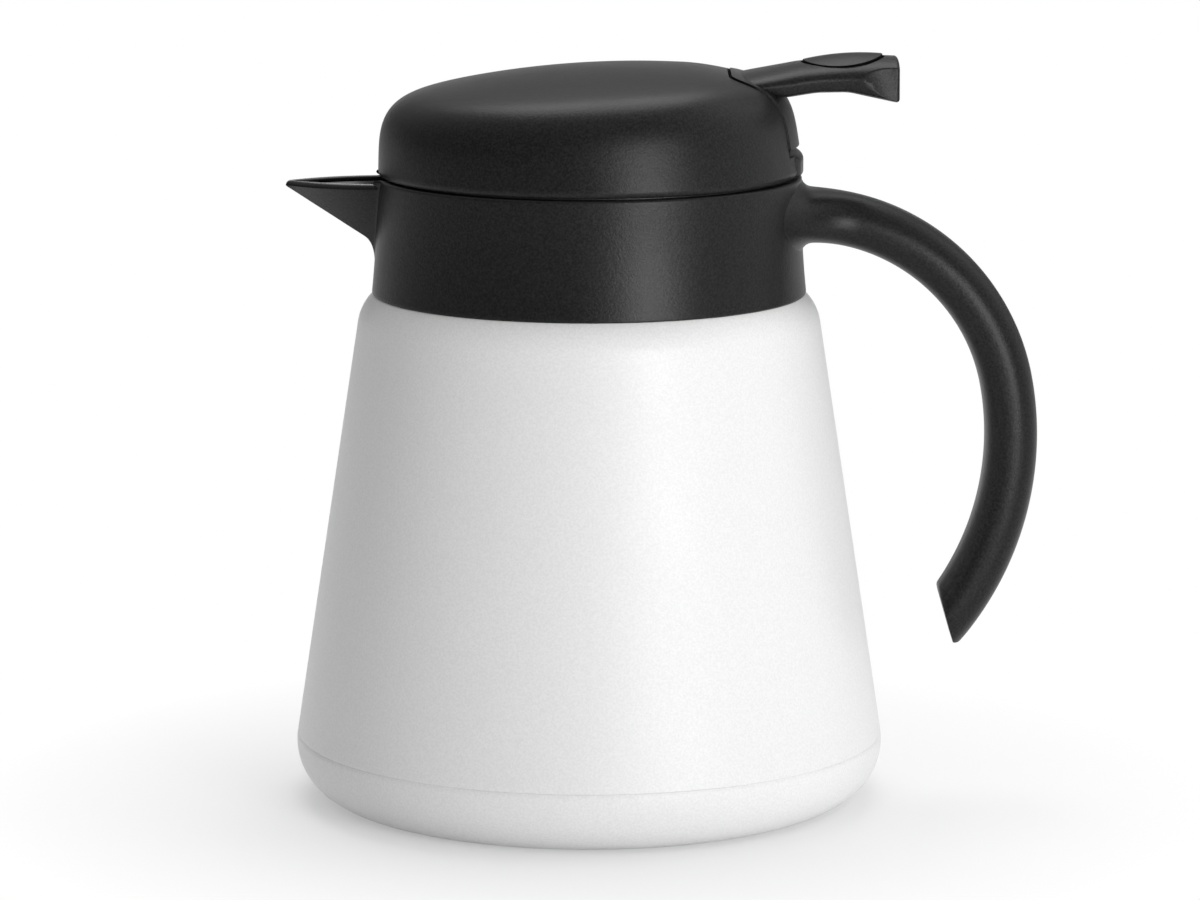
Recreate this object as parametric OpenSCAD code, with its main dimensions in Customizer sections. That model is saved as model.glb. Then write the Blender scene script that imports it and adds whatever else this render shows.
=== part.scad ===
// Insulated jug with a press-lever lid.
// A double-walled steel vessel carries a collar that is one moulding with its spout and handle.
// The lid lifts off the collar. Its lever raises a spring-loaded valve in the stopper.
// Millimetres. +Z is up, the table is z = 0 and the vessel's axis is the Z axis.
// The spout points to -X, the handle and the lever to +X.

/* [Vessel] */
// Outer radius where the base is welded to the side wall
base_r = 61.7; // [56:0.1:70]
// Lean of the side wall from the vertical, in degrees
lean = 8.7; // [6:0.1:10]
// Radius of the rounded edge of the base
base_round = 12; // [10:0.5:14]
// Height where the side wall turns into the shoulder
shoulder_h = 101; // [90:1:120]
// Radius of the shoulder
shoulder_round = 10; // [8:0.5:12]
// Step in from the side wall to the neck
neck_step = 8.35; // [7.5:0.05:9]
// Thickness of the steel sheet
steel = 0.8; // [0.5:0.1:1]
// Vacuum gap beside the side wall
vacuum_gap = 4.5; // [3:0.1:5]
// Vacuum gap beside the neck
neck_gap = 1.2; // [0.8:0.1:2]
// Vacuum gap under the liner's floor
floor_gap = 4.4; // [3.5:0.1:7]
// Radius of the liner's floor edge
liner_round = 8; // [5:0.5:12]
// Width of the flat ring that the jug stands on
foot_w = 5.5; // [3:0.5:8]
// Depth of the recess inside the foot ring
base_recess = 2; // [1:0.1:3]
// Depth of the sealing dimple in the base
dimple_h = 1.2; // [1:0.1:2]
// Radius of the sealing dimple
dimple_r = 8; // [6:0.5:12]
// Height of the snap bead round the neck
bead_r = 0.8; // [0.5:0.1:1]
// Radius of the getter pellet
getter_r = 4; // [3:0.5:6]
// Height of the getter pellet
getter_h = 1.8; // [1:0.1:2.5]

/* [Collar] */
// Wall of the collar over the neck
collar_wall = 4.3; // [3.5:0.1:6]
// Height of the collar from its lower edge to its rim
collar_h = 24.9; // [22:0.1:32]
// How far the collar's foot flares out
collar_flare = 1.1; // [0:0.1:2]
// Height of the flare
collar_flare_h = 9; // [5:0.5:12]
// Depth of the pouring chamber below the rim
chamber_h = 9.8; // [8:0.1:12]
// Wall of the pouring chamber
chamber_wall = 3.7; // [2.5:0.1:4]
// Thickness of the ledge over the steel lip
ledge_t = 1.6; // [1:0.1:2.5]
// Thickness of the neck gasket
neck_gasket_t = 1.2; // [0.8:0.1:2]

/* [Spout] */
// Reach of the beak from the collar's wall
spout_reach = 18.9; // [12:0.1:28]
// Half width of the beak at the collar
spout_half_w = 10.6; // [7:0.1:14]
// Drop from the collar's rim to the rim of the beak
spout_drop = 1.1; // [0:0.1:3]
// Depth of the beak at its tip
spout_tip_h = 1.2; // [0.8:0.1:2]
// Rise of the keel, in degrees
spout_rise = 33; // [20:1:35]
// Wall of the beak
spout_wall = 1.6; // [1:0.1:2.5]

/* [Handle] */
// Thickness of the grip, seen from the side
handle_t = 10.8; // [8:0.1:12]
// Width of the grip across the hand
handle_w = 16; // [10:0.5:24]
// Squareness of the grip's section, 2 for an ellipse
grip_square = 2.6; // [2:0.1:4]
// How far the grip's widest line lies towards its outer side, as a share
grip_ridge = 0.2; // [0:0.05:0.3]
// How far the handle's root flares into the collar
root_flare = 1.2; // [0:0.1:2]
// Drop from the collar's rim to the middle of the handle's root
handle_drop = 7.75; // [7.5:0.05:12]
// Bend radius of the upper stretch
handle_upper_r = 44.4; // [36:0.1:50]
// Sweep of the upper stretch, in degrees
handle_upper_sweep = 79; // [60:1:90]
// Bend radius of the lower stretch
handle_lower_r = 60.6; // [45:0.1:90]
// Sweep of the lower stretch along its middle, in degrees
handle_lower_sweep = 45.5; // [25:0.5:50]
// Lean of the cut at the handle's end, in degrees
handle_cut = 16; // [5:1:30]

/* [Lid] */
// Open seam between the collar's rim and the dome
lid_seam = 0.4; // [0.2:0.1:1]
// Step in from the collar to the dome
dome_step = 0.3; // [0:0.1:1]
// Height of the crown above the collar's rim
dome_h = 22.6; // [21:0.1:30]
// Radius of the crown
crown_r = 200; // [120:1:400]
// Radius of the dome's shoulder
dome_round = 11.3; // [11:0.1:15]
// Tilt of the crown up towards the handle, in degrees
dome_tilt = 3.5; // [1:0.1:4]
// Draft of the dome's wall, in degrees
dome_draft = 4.3; // [1:0.1:6]
// Wall of the dome
dome_wall = 1.8; // [1.2:0.1:2.4]
// Height of the stop block below the lever's tail
stop_h = 5; // [3:0.1:6]
// How far the stop block stands out
stop_out = 0.6; // [0.2:0.1:1]
// Thickness of the stopper's top plate
plate_t = 2.2; // [1.5:0.1:3]
// Reach of the stopper below the steel lip
plug_reach = 12; // [10:0.5:20]
// Wall of the stopper
plug_wall = 2; // [1.5:0.1:3]
// Radial room between the stopper and the mouth
plug_room = 0.8; // [0.6:0.1:1.5]
// Height of the stopper gasket
gasket_h = 4; // [3:0.1:6]
// Depth of the gasket's groove
gasket_d = 1.2; // [0.8:0.1:1.6]
// Half width of the pour port
port_half_w = 22; // [12:1:28]
// Pitch radius of the lid screws in a stopper of nominal radius
screw_pitch_r = 29; // [24:1:31]
// Radius of a lid screw
screw_r = 1.4; // [1:0.1:2]

/* [Lever] */
// Distance of the pivot inside the dome's wall
pivot_in = 9; // [8.5:0.1:9.5]
// Height of the pivot above the collar's rim
pivot_h = 11.4; // [11:0.1:12]
// Radius of the pivot pin
pin_r = 1.5; // [1:0.1:2]
// Full turn of the lever, in degrees
lever_turn = 9; // [4:1:10]
// Height of the lever's nose above the collar's rim
nose_h = 20.85; // [20.5:0.05:24]
// Width of the lever at its root
lever_root_w = 24; // [22:0.5:30]
// Width of the lever at the thumb pad
lever_pad_w = 21; // [20:0.5:24]
// Width of the lever at its tip
lever_tip_w = 11; // [8:0.5:16]
// Reach of the lever beyond the dome's wall
lever_reach = 20.1; // [19.5:0.1:26]
// Reach of the lever's nose inside the dome's wall
lever_nose = 14.8; // [13:0.1:18]
// Thickness of the lever's arm
lever_t = 5.4; // [5:0.1:7]
// Rise of the arm from nose to tip
lever_rise = 4.05; // [1:0.05:6]
// Radius of the lever's crown across its width
lever_crown_r = 34; // [25:1:60]
// Radius of the lever's long edges
lever_edge_r = 4; // [3:0.1:5]
// Length of the hollowed sides at the lever's tip
scoop_len = 7.9; // [6:0.1:10]
// Radius of the hollowed sides
scoop_r = 9; // [7:0.5:12]
// Room between the lever and its slot
slot_room = 0.4; // [0.3:0.05:0.8]
// Distance of the pad's centre outside the dome's wall
pad_out = 8.5; // [8:0.1:9.5]
// Radius of the thumb pad
pad_r = 8.45; // [6:0.05:9]
// Depth of the pad's recess
pad_recess = 1.2; // [0.8:0.1:2]
// Height of the pad's crown above the lever
pad_crown = 0.9; // [0.4:0.1:1.5]

/* [Valve] */
// Radius of the valve port
port_r = 11; // [8:0.5:14]
// Overlap of the valve washer on its seat
seat_w = 2.4; // [1.5:0.1:4]
// Thickness of the valve washer
washer_t = 1.2; // [0.8:0.1:2]
// Thickness of the valve plug
valve_t = 2.6; // [2:0.1:4]
// Radius of the valve stem
stem_r = 2.5; // [2:0.1:3]
// Radius of the stem's cap
cap_r = 6; // [5.6:0.1:7]
// Mean radius of the valve spring
spring_r = 6.6; // [5.5:0.1:8]
// Radius of the spring's wire
wire_r = 0.6; // [0.4:0.05:0.7]
// Turns of the valve spring
spring_turns = 5; // [3:1:6]

/* [Hidden] */
$fn = 96;

// Clearances
fit = 0.15;
run_fit = 0.05;
seal_room = 0.3;
eps = 0.01;
over = 1;
far = 200;

// Vessel
weld_h = base_round * (1 + sin(lean));
function cone_r(z) = base_r - (z - weld_h) * tan(lean);
shoulder_x = cone_r(shoulder_h) - shoulder_round * cos(lean);
shoulder_z = shoulder_h - shoulder_round * sin(lean);
function on_shoulder(r, inset = 0) = shoulder_z + sqrt(pow(shoulder_round - inset, 2) - pow(r - shoulder_x, 2));
neck_r = cone_r(shoulder_h) - neck_step;
foot_r = cone_r(base_round) - base_round / cos(lean);
liner_out = neck_r - steel - neck_gap;
mouth_r = liner_out - steel;
dish_r = foot_r - foot_w;
dish_top = base_recess + steel;
liner_floor = dish_top + dimple_h + floor_gap;
bead_ball_r = 6;
bead_sunk = 0.2;

// Collar
collar_r = neck_r + collar_wall;
collar_foot_r = collar_r + collar_flare;
collar_low = on_shoulder(collar_foot_r);
rim = collar_low + collar_h;
chamber_r = collar_r - chamber_wall;
chamber_floor = rim - chamber_h;
lip = chamber_floor - ledge_t - neck_gasket_t;
ledge_r = mouth_r + fit;
bead_z = (lip + on_shoulder(neck_r)) / 2;

// Spout
spout_rim = rim - spout_drop;
spout_tip_x = -(collar_r + spout_reach);
keel_tip = spout_rim - spout_tip_h;
keel_root_x = -(neck_r + collar_wall / 3);
keel_root = keel_tip - (keel_root_x - spout_tip_x) * tan(spout_rise);
keel_w = 2;
beak_rim_t = 0.8;
trough_rim_t = 0.3;
trough_tip_h = 0.7;
trough_in = 1;

// Handle: two arcs that share a tangent
handle_z = rim - handle_drop;
upper_c = [collar_r - dome_step, handle_z - handle_upper_r];
turn_at = 90 - handle_upper_sweep;
lower_c = upper_c + (handle_upper_r - handle_lower_r) * [cos(turn_at), sin(turn_at)];
end_at = turn_at - handle_lower_sweep;
grip_sides = 20;
upper_steps = 14;
lower_steps = 9;
flare_sweep = 6;
cut_sweep = 14;
cut_top = 8;
root_in = 0.6;
handle_end = lower_c + (handle_lower_r - handle_t / 2) * [cos(end_at), sin(end_at)];

// Dome
dome_r = collar_r - dome_step;
dome_low = rim + lid_seam;
dome_edge = 0.8;
dome_skirt = 5;
wall_kink = 3;
stop_top = rim + stop_h;
apex = rim + dome_h;
crown_z = apex - crown_r;
// Centre of the shoulder arc, tangent to the drafted wall and to the crown
wall_x = dome_r + dome_low * tan(dome_draft) - dome_round / cos(dome_draft);
centre_b = crown_z + wall_x * tan(dome_draft);
centre_c = pow(wall_x, 2) + pow(crown_z, 2) - pow(crown_r - dome_round, 2);
dome_z = (centre_b + sqrt(pow(centre_b, 2) - centre_c / pow(cos(dome_draft), 2))) * pow(cos(dome_draft), 2);
dome_x = wall_x - dome_z * tan(dome_draft);

// Stopper
plug_r = mouth_r - plug_room;
plug_low = lip - plug_reach;
plate_top = rim + plate_t;
flange_r = dome_r - dome_wall - 3 * fit;
seat_top = plug_low + plug_wall;
gasket_drop = 3;
gasket_low = lip - gasket_drop - gasket_h;
port_sill = 0.6;
port_head = 1.6;
nominal_plug_r = 36.409;
screw_at = screw_pitch_r + plug_r - nominal_plug_r;
screw_head_r = 2 * screw_r;
screw_head_h = 1.6;
boss_wall = 2.1;
boss_r = screw_r + boss_wall;
screw_len = 8;
screw_angles = [60, 180, 300];

// Pivot
pivot_x = dome_r - pivot_in;
pivot_z = rim + pivot_h;

// Valve
washer_r = port_r + seat_w;
washer_hold = 2;
washer_in = port_r - washer_hold;
valve_low = seat_top + washer_t;
valve_top = valve_low + valve_t;
retainer_room = 1;
retainer_r = port_r - retainer_room;
retainer_t = 1.4;
fork_drop = 3.5;
boss_z = pivot_z - fork_drop;
fork_r = 2;
fork_room = 0.7;
cap_low = boss_z + fork_r + seal_room;
cap_t = 1.7;
guide_top = boss_z - fork_r - fork_room;
guide_wall = 3.5;
guide_r = stem_r + guide_wall;
spring_h = 12.4;
guide_low = valve_top + spring_h + 2 * wire_r;
seal_w = 2;
seal_r = stem_r + seal_w;
seal_t = 1.2;

// Lever
nose_x = dome_r - lever_nose;
tip_x = dome_r + lever_reach;
nose_top = rim + nose_h;
tip_top = nose_top + lever_rise;
knee_in = 0.5;
knee_x = dome_r - knee_in;
narrow_in = 6;
scoop_x = tip_x - scoop_len;
scoop_out = 1.5;
crown_lift = 1.5;
arm_slope = atan2(lever_rise - crown_lift / 2, tip_x - nose_x);
nose_round = 5;
crown_depth = 30;
tip_flat = 3.5;
tip_ease = 0.8;
tip_drop = 1.6;
arch_h = 0.6;
arch_start = 3;
arch_end = 9.5;
root_drop = 0.3;
tail_t = 1.6;
tail_low = stop_top + pivot_in * sin(lever_turn) + seal_room;
tail_in = 6;
tail_start = nose_x + tail_in;
tail_over = 1.2;
tail_side = 0.4;
tail_w = lever_root_w - 2 * tail_side;
tongue_w = 11;
tongue_room = 0.5;
tongue_gap = stem_r + tongue_room;
tongue_over = 1;
tongue_start = 2;
cap_drop = 0.6;
ear_w = 2.6;
ear_room = 0.4;
ear_wall = 1.6;
ear_r = pin_r + ear_wall;
pad_x = dome_r + pad_out;
pad_slope = 3.9;
pad_groove = 0.25;
function arm_top(x) = nose_top + crown_lift + (x - nose_x) * tan(arm_slope);
pad_seat = arm_top(pad_x) - pad_recess;
knee_drop = 0.7;
arm_under = arm_top(knee_x) - knee_drop - lever_t;

// Shared shapes

// Half section of a flask whose faces lie inset inside the outer one.
module flask_area(inset, floor_z, round_r, neck, top) {
    corner_z = floor_z + round_r;
    corner_x = cone_r(corner_z) - (inset + round_r) / cos(lean);
    edge = [cos(lean), sin(lean)];
    neck_low = on_shoulder(neck, inset);
    polygon([
        [0, floor_z], [corner_x, floor_z], [corner_x, corner_z] + round_r * edge,
        [shoulder_x, shoulder_z] + (shoulder_round - inset) * edge,
        [neck, neck_low], [neck, top], [0, top]
    ]);
    translate([corner_x, corner_z]) circle(round_r);
    translate([shoulder_x, shoulder_z]) circle(shoulder_round - inset);
}

module outer_area(inset, top) {
    flask_area(inset, inset, base_round - inset, neck_r - inset, top);
}

// Plain ring with a square section.
module ring(r_out, r_in, z_low, z_high) {
    translate([0, 0, z_low]) difference() {
        cylinder(r = r_out, h = z_high - z_low);
        translate([0, 0, -over]) cylinder(r = r_in, h = z_high - z_low + 2 * over);
    }
}

// Extrudes an outline of the XZ plane by w, centred on y = 0.
module across(w) {
    rotate([90, 0, 0]) linear_extrude(height = w, center = true) children();
}

module rounded_rect(w, h, r) {
    square([w - 2 * r, h], center = true);
    square([w, h - 2 * r], center = true);
    for (x = [-1, 1], y = [-1, 1])
        translate([x * (w / 2 - r), y * (h / 2 - r)]) circle(r);
}

// Half section of the dome: a wall that meets the shoulder arc at a slight angle, and a crown arc tangent to it.
module dome_area(inset) {
    centre = [0, crown_z];
    shoulder = [dome_x, dome_z];
    out = (shoulder - centre) / norm(shoulder - centre);
    side = [cos(dome_draft - wall_kink), sin(dome_draft - wall_kink)];
    low = dome_low - dome_skirt;
    wall_low = dome_r - inset / cos(dome_draft) - (low - dome_low) * tan(dome_draft);
    polygon([[0, low], [wall_low, low], shoulder + side * (dome_round - inset), shoulder, [0, dome_z]]);
    translate(shoulder) circle(dome_round - inset);
    intersection() {
        translate(centre) circle(crown_r - inset, $fn = 360);
        polygon([[0, low], [0, apex + over], centre + out * (crown_r + 2 * over), shoulder]);
    }
}

// Solid dome whose crown tilts up towards the handle.
module dome_solid(inset) {
    translate([0, 0, dome_low]) rotate([0, -dome_tilt, 0]) translate([0, 0, -dome_low])
        rotate_extrude() dome_area(inset);
}

// Plan outline of the lever's root and of its slot, open towards +X.
module slot_plan(grow) {
    half = lever_root_w / 2 + grow;
    round_r = nose_round + grow;
    start = nose_x - grow;
    translate([start + round_r, -half]) square([far, 2 * half]);
    translate([start, -half + round_r]) square([far, 2 * (half - round_r)]);
    for (s = [-1, 1]) translate([start + round_r, s * (half - round_r)]) circle(round_r);
}

// Jug

module outer_shell() {
    color("white") rotate_extrude() difference() {
        union() {
            outer_area(0, lip - steel);
            translate([neck_r, bead_z]) circle(bead_r);
        }
        outer_area(steel, lip);
        square([far, weld_h]);
    }
}

module bottom_cup() {
    slope = steel * tan(22.5);
    color("white") rotate_extrude() {
        intersection() {
            difference() {
                outer_area(0, lip);
                outer_area(steel, lip + over);
            }
            translate([dish_r, 0]) square([far, weld_h]);
        }
        polygon([
            [0, base_recess + dimple_h], [dimple_r - dimple_h, base_recess + dimple_h],
            [dimple_r, base_recess], [dish_r - base_recess, base_recess], [dish_r, 0],
            [dish_r + slope, 0], [dish_r + slope, steel], [dish_r + slope - base_recess, dish_top],
            [dimple_r + slope, dish_top], [dimple_r + slope - dimple_h, dish_top + dimple_h],
            [0, dish_top + dimple_h]
        ]);
    }
}

module inner_liner() {
    inset = steel + vacuum_gap;
    color("silver") rotate_extrude() {
        difference() {
            flask_area(inset, liner_floor, liner_round, liner_out, lip);
            flask_area(inset + steel, liner_floor + steel, liner_round - steel, mouth_r, lip + over);
        }
        translate([mouth_r, lip - steel]) square([neck_r - mouth_r, steel]);
    }
}

module getter() {
    color("dimgray") translate([dish_r / 2, 0, dish_top]) cylinder(r = getter_r, h = getter_h);
}

module seal_bead() {
    bead_h = dimple_h - bead_sunk;
    color("gray") translate([0, 0, base_recess + dimple_h]) intersection() {
        translate([0, 0, bead_ball_r - bead_h]) sphere(bead_ball_r);
        translate([-bead_ball_r, -bead_ball_r, -bead_ball_r]) cube([2 * bead_ball_r, 2 * bead_ball_r, bead_ball_r]);
    }
}

module neck_gasket() {
    color("gainsboro") ring(neck_r, ledge_r, lip, lip + neck_gasket_t);
}

module collar_ring() {
    rim_bevel = 0.5;
    foot_bevel = 0.4;
    rotate_extrude() difference() {
        polygon([
            [ledge_r, chamber_floor - ledge_t], [neck_r + fit, chamber_floor - ledge_t],
            [neck_r + fit, collar_low], [collar_foot_r - foot_bevel, collar_low],
            [collar_foot_r, collar_low + 3 * foot_bevel],
            [collar_foot_r - collar_flare * 0.2, collar_low + collar_flare_h * 0.4],
            [collar_r, collar_low + collar_flare_h], [collar_r, rim - rim_bevel],
            [collar_r - rim_bevel, rim], [chamber_r, rim], [chamber_r, chamber_floor],
            [ledge_r, chamber_floor]
        ]);
        translate([shoulder_x, shoulder_z]) circle(shoulder_round + fit);
        translate([neck_r, bead_z]) circle(bead_r + fit);
    }
}

// Beak: everything between an elliptical rim and a straight keel.
module beak(inset, rim_low, rim_high, keel) {
    hull() {
        translate([-collar_r, 0, rim_low]) linear_extrude(height = rim_high - rim_low) {
            difference() {
                scale([spout_reach - inset, spout_half_w - inset]) circle(1, $fn = 48);
                translate([0, -far / 2]) square(far);
            }
            translate([0, -(spout_half_w - inset)])
                square([collar_r + keel[1][0], 2 * (spout_half_w - inset)]);
        }
        across(keel_w) polygon([keel[0], keel[1], keel[1] + [0, 1], keel[0] + [1, 0.5]]);
    }
}

module spout() {
    beak(0, spout_rim - beak_rim_t, spout_rim, [[spout_tip_x + trough_rim_t, keel_tip], [keel_root_x, keel_root]]);
}

module spout_trough() {
    inner_tip = [spout_tip_x + 1.2 * spout_wall, spout_rim - trough_tip_h];
    inner_root = [-(chamber_r - trough_in), chamber_floor];
    beak(spout_wall, spout_rim - trough_rim_t, rim + over, [inner_tip, inner_root]);
}

// Section of the grip: a superellipse with a soft ridge, point k of grip_sides, grown by flare.
function squared(u) = sign(u) * pow(abs(u), 2 / grip_square);
function grip_point(k, flare) =
    let (a = 360 * k / grip_sides, c = squared(cos(a)), s = squared(sin(a)))
        [
            (c + grip_ridge * (1 - c * c)) * (handle_t / 2 + flare),
            s * (handle_w / 2 + flare)
        ];

// Each ring of the grip holds its centre, the direction of its outer side and its flare.
grip_rings = concat(
    [[[chamber_r + root_in, handle_z], 90, root_flare]],
    [
        for (i = [0 : upper_steps])
            let (sweep = handle_upper_sweep * pow(i / upper_steps, 1.5), a = 90 - sweep)
                [
                    upper_c + handle_upper_r * [cos(a), sin(a)], a,
                    root_flare * pow(max(0, 1 - sweep / flare_sweep), 2)
                ]
    ],
    [
        for (i = [1 : lower_steps])
            let (a = turn_at - (handle_lower_sweep + cut_sweep) * i / lower_steps)
                [lower_c + handle_lower_r * [cos(a), sin(a)], a, 0]
    ]
);

// Grip swept along the two arcs, then cut off aslant at its end.
module handle() {
    points = [
        for (ring = grip_rings, k = [0 : grip_sides - 1])
            let (p = grip_point(k, ring[2]))
                [ring[0][0] + p[0] * cos(ring[1]), p[1], ring[0][1] + p[0] * sin(ring[1])]
    ];
    last = (len(grip_rings) - 1) * grip_sides;
    sides = [
        for (i = [0 : len(grip_rings) - 2], k = [0 : grip_sides - 1])
            let (a = i * grip_sides + k, b = i * grip_sides + (k + 1) % grip_sides)
                each [[a, b, a + grip_sides], [b, b + grip_sides, a + grip_sides]]
    ];
    start_cap = [for (k = [1 : grip_sides - 2]) [0, k + 1, k]];
    end_cap = [for (k = [1 : grip_sides - 2]) [last, last + k, last + k + 1]];
    difference() {
        polyhedron(points, concat(sides, start_cap, end_cap));
        translate([handle_end[0], 0, handle_end[1]]) rotate([0, -handle_cut, 0])
            translate([-far / 4, -far / 4, -far / 4]) cube([far / 4, far / 2, far / 4 + cut_top]);
    }
}

module collar() {
    color("#2b2b2b") difference() {
        union() {
            collar_ring();
            spout();
            handle();
        }
        spout_trough();
    }
}

// Lid

module lid_dome() {
    color("#262626") difference() {
        union() {
            difference() {
                union() {
                    intersection() {
                        dome_solid(0);
                        rotate_extrude() polygon([
                            [0, dome_low], [dome_r - dome_edge, dome_low], [dome_r + over, dome_low + 3 * dome_edge],
                            [dome_r + over, far], [0, far]
                        ]);
                    }
                    intersection() {
                        translate([0, 0, dome_low]) cylinder(r = dome_r + stop_out, h = stop_top - dome_low);
                        translate([0, 0, rim]) linear_extrude(height = dome_h) slot_plan(0);
                    }
                }
                dome_solid(dome_wall);
                translate([0, 0, stop_top]) linear_extrude(height = far) slot_plan(slot_room);
            }
            intersection() {
                dome_solid(dome_wall / 2);
                for (a = screw_angles) rotate(a) translate([screw_at, 0, plate_top]) cylinder(r = boss_r, h = far);
            }
        }
        for (a = screw_angles) rotate(a) translate([screw_at, 0, rim])
            cylinder(r = screw_r + run_fit, h = plate_t + screw_len);
    }
}

module lid_base_section() {
    difference() {
        polygon([
            [0, plug_low], [plug_r, plug_low], [plug_r, rim], [flange_r, rim],
            [flange_r, plate_top], [0, plate_top]
        ]);
        translate([0, seat_top]) square([plug_r - plug_wall - gasket_d, rim - seat_top]);
        translate([plug_r - gasket_d, gasket_low]) square([far, gasket_h]);
    }
    translate([0, guide_low]) square([guide_r, guide_top - guide_low]);
}

module lid_base() {
    ear_y = tongue_w / 2 + ear_room;
    color("#303030") difference() {
        union() {
            rotate_extrude() lid_base_section();
            for (s = [-1, 1]) translate([pivot_x, s * (ear_y + ear_w / 2), 0]) across(ear_w) {
                translate([0, pivot_z]) circle(ear_r);
                translate([-ear_r, plate_top - eps]) square([2 * ear_r, pivot_z - plate_top]);
            }
        }
        translate([0, 0, plug_low - over]) cylinder(r = port_r, h = plug_wall + 2 * over);
        translate([0, 0, guide_low - over]) cylinder(r = stem_r + run_fit, h = far);
        translate([0, 0, guide_low - eps]) cylinder(r = seal_r + run_fit, h = seal_t + eps);
        translate([-plug_r - over, -port_half_w, chamber_floor + port_sill])
            cube([plug_r / 2, 2 * port_half_w, chamber_h - port_sill - port_head]);
        translate([pivot_x, 0, pivot_z]) rotate([90, 0, 0]) cylinder(r = pin_r, h = far, center = true);
        for (a = screw_angles) rotate(a) translate([screw_at, 0, rim - over])
            cylinder(r = screw_r + run_fit, h = plate_t + 2 * over);
    }
}

module stopper_gasket() {
    color("gainsboro") difference() {
        ring(mouth_r - seal_room, plug_r - gasket_d, gasket_low, gasket_low + gasket_h);
        ring(far / 2, plug_r - gasket_d / 4, gasket_low + gasket_h * 0.35, gasket_low + gasket_h * 0.65);
    }
}

module lid_screws() {
    color("silver") for (a = screw_angles) rotate(a) translate([screw_at, 0, rim]) {
        translate([0, 0, -screw_head_h]) cylinder(r = screw_head_r, h = screw_head_h);
        cylinder(r = screw_r, h = screw_len);
    }
}

module pivot_pin() {
    pin_len = tongue_w + 2 * (ear_room + ear_w);
    color("silver") translate([pivot_x, 0, pivot_z]) rotate([90, 0, 0]) cylinder(r = pin_r, h = pin_len, center = true);
}

module stem_seal() {
    color("gainsboro") ring(seal_r, stem_r + run_fit, guide_low, guide_low + seal_t);
}

// One unbroken helix of round wire, closed at both ends, with 8 rings a turn and 6 sides.
function coil_point(t) = [
    spring_r * cos(360 * spring_turns * t), spring_r * sin(360 * spring_turns * t),
    valve_top + wire_r + spring_h * t
];
coil_rings = 8 * spring_turns;
coil_sides = 6;
coil_gap = spring_h / spring_turns - 2 * wire_r;
echo(least_gap_between_turns = coil_gap);

module valve_spring() {
    points = [
        for (i = [0 : coil_rings], k = [0 : coil_sides - 1])
            let (p = coil_point(i / coil_rings), a = 360 * k / coil_sides, u = [p[0], p[1], 0] / spring_r)
                p + wire_r * (cos(a) * u + [0, 0, sin(a)])
    ];
    side_faces = [
        for (i = [0 : coil_rings - 1], k = [0 : coil_sides - 1])
            let (a = i * coil_sides + k, b = i * coil_sides + (k + 1) % coil_sides)
                each [[a, a + coil_sides, b], [b, a + coil_sides, b + coil_sides]]
    ];
    first = [for (k = [1 : coil_sides - 2]) [0, k, k + 1]];
    base = coil_rings * coil_sides;
    last = [for (k = [1 : coil_sides - 2]) [base, base + k + 1, base + k]];
    color("silver") polyhedron(points, concat(side_faces, first, last));
}

// Lever

module lever_plan() {
    half = lever_pad_w / 2;
    root_half = lever_root_w / 2;
    tip_half = lever_tip_w / 2;
    intersection() {
        slot_plan(0);
        difference() {
            polygon([
                [nose_x - over, -root_half], [knee_x - narrow_in, -root_half], [scoop_x, -half], [tip_x, -half],
                [tip_x, half], [scoop_x, half], [knee_x - narrow_in, root_half], [nose_x - over, root_half]
            ]);
            for (s = [-1, 1]) translate([tip_x + scoop_out, s * (tip_half + scoop_r)]) circle(scoop_r);
        }
    }
}

module lever_side() {
    polygon([
        [nose_x, nose_top], [knee_x, arm_top(knee_x)], [tip_x - tip_flat, tip_top],
        [tip_x - tip_ease, tip_top - tip_ease / 4], [tip_x, tip_top - tip_ease],
        [tip_x, arm_under - tip_drop + tip_ease], [tip_x - tip_ease, arm_under - tip_drop],
        [dome_r + arch_end, arm_under + arch_h], [dome_r + arch_start, arm_under + arch_h],
        [dome_r - arch_start, arm_under - root_drop], [nose_x, arm_under - root_drop]
    ]);
}

module lever_arm() {
    intersection() {
        across(far) lever_side();
        translate([0, 0, rim]) linear_extrude(height = far) lever_plan();
        translate([nose_x, 0, nose_top + crown_lift]) rotate([0, -arm_slope, 0]) rotate([90, 0, 90])
            translate([0, 0, -crown_depth / 3]) linear_extrude(height = far) intersection() {
                translate([0, -lever_crown_r]) circle(lever_crown_r, $fn = 180);
                translate([0, -crown_depth / 2]) rounded_rect(lever_root_w, crown_depth, lever_edge_r);
            }
    }
}

module lever_tail() {
    intersection() {
        difference() {
            dome_solid(0);
            dome_solid(tail_t);
        }
        translate([tail_start, -tail_w / 2, tail_low]) cube([far, tail_w, arm_under + tail_over - tail_low]);
    }
}

module lever_tongue() {
    difference() {
        across(tongue_w) union() {
            polygon([
                [pivot_x + ear_r, pivot_z], [pivot_x + ear_r, arm_under + tongue_over],
                [nose_x + tongue_start, arm_under + tongue_over],
                [cap_r + tongue_start, boss_z + fork_r - cap_drop], [0, boss_z + fork_r - cap_drop],
                [0, boss_z - fork_r], [pivot_x, pivot_z - ear_r]
            ]);
            translate([0, boss_z]) circle(fork_r);
            translate([pivot_x, pivot_z]) circle(ear_r);
        }
        translate([-far, -tongue_gap, 0]) cube([far + cap_r + tongue_start, 2 * tongue_gap, far]);
    }
}

module lever() {
    color("#2e2e2e") difference() {
        union() {
            union() {
                lever_arm();
                lever_tail();
            }
            lever_tongue();
        }
        translate([pivot_x, 0, pivot_z]) rotate([90, 0, 0]) cylinder(r = pin_r + run_fit, h = far, center = true);
        translate([pad_x, 0, pad_seat]) rotate([0, -pad_slope, 0]) cylinder(r = pad_r + pad_groove, h = 2 * lever_t);
    }
}

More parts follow.
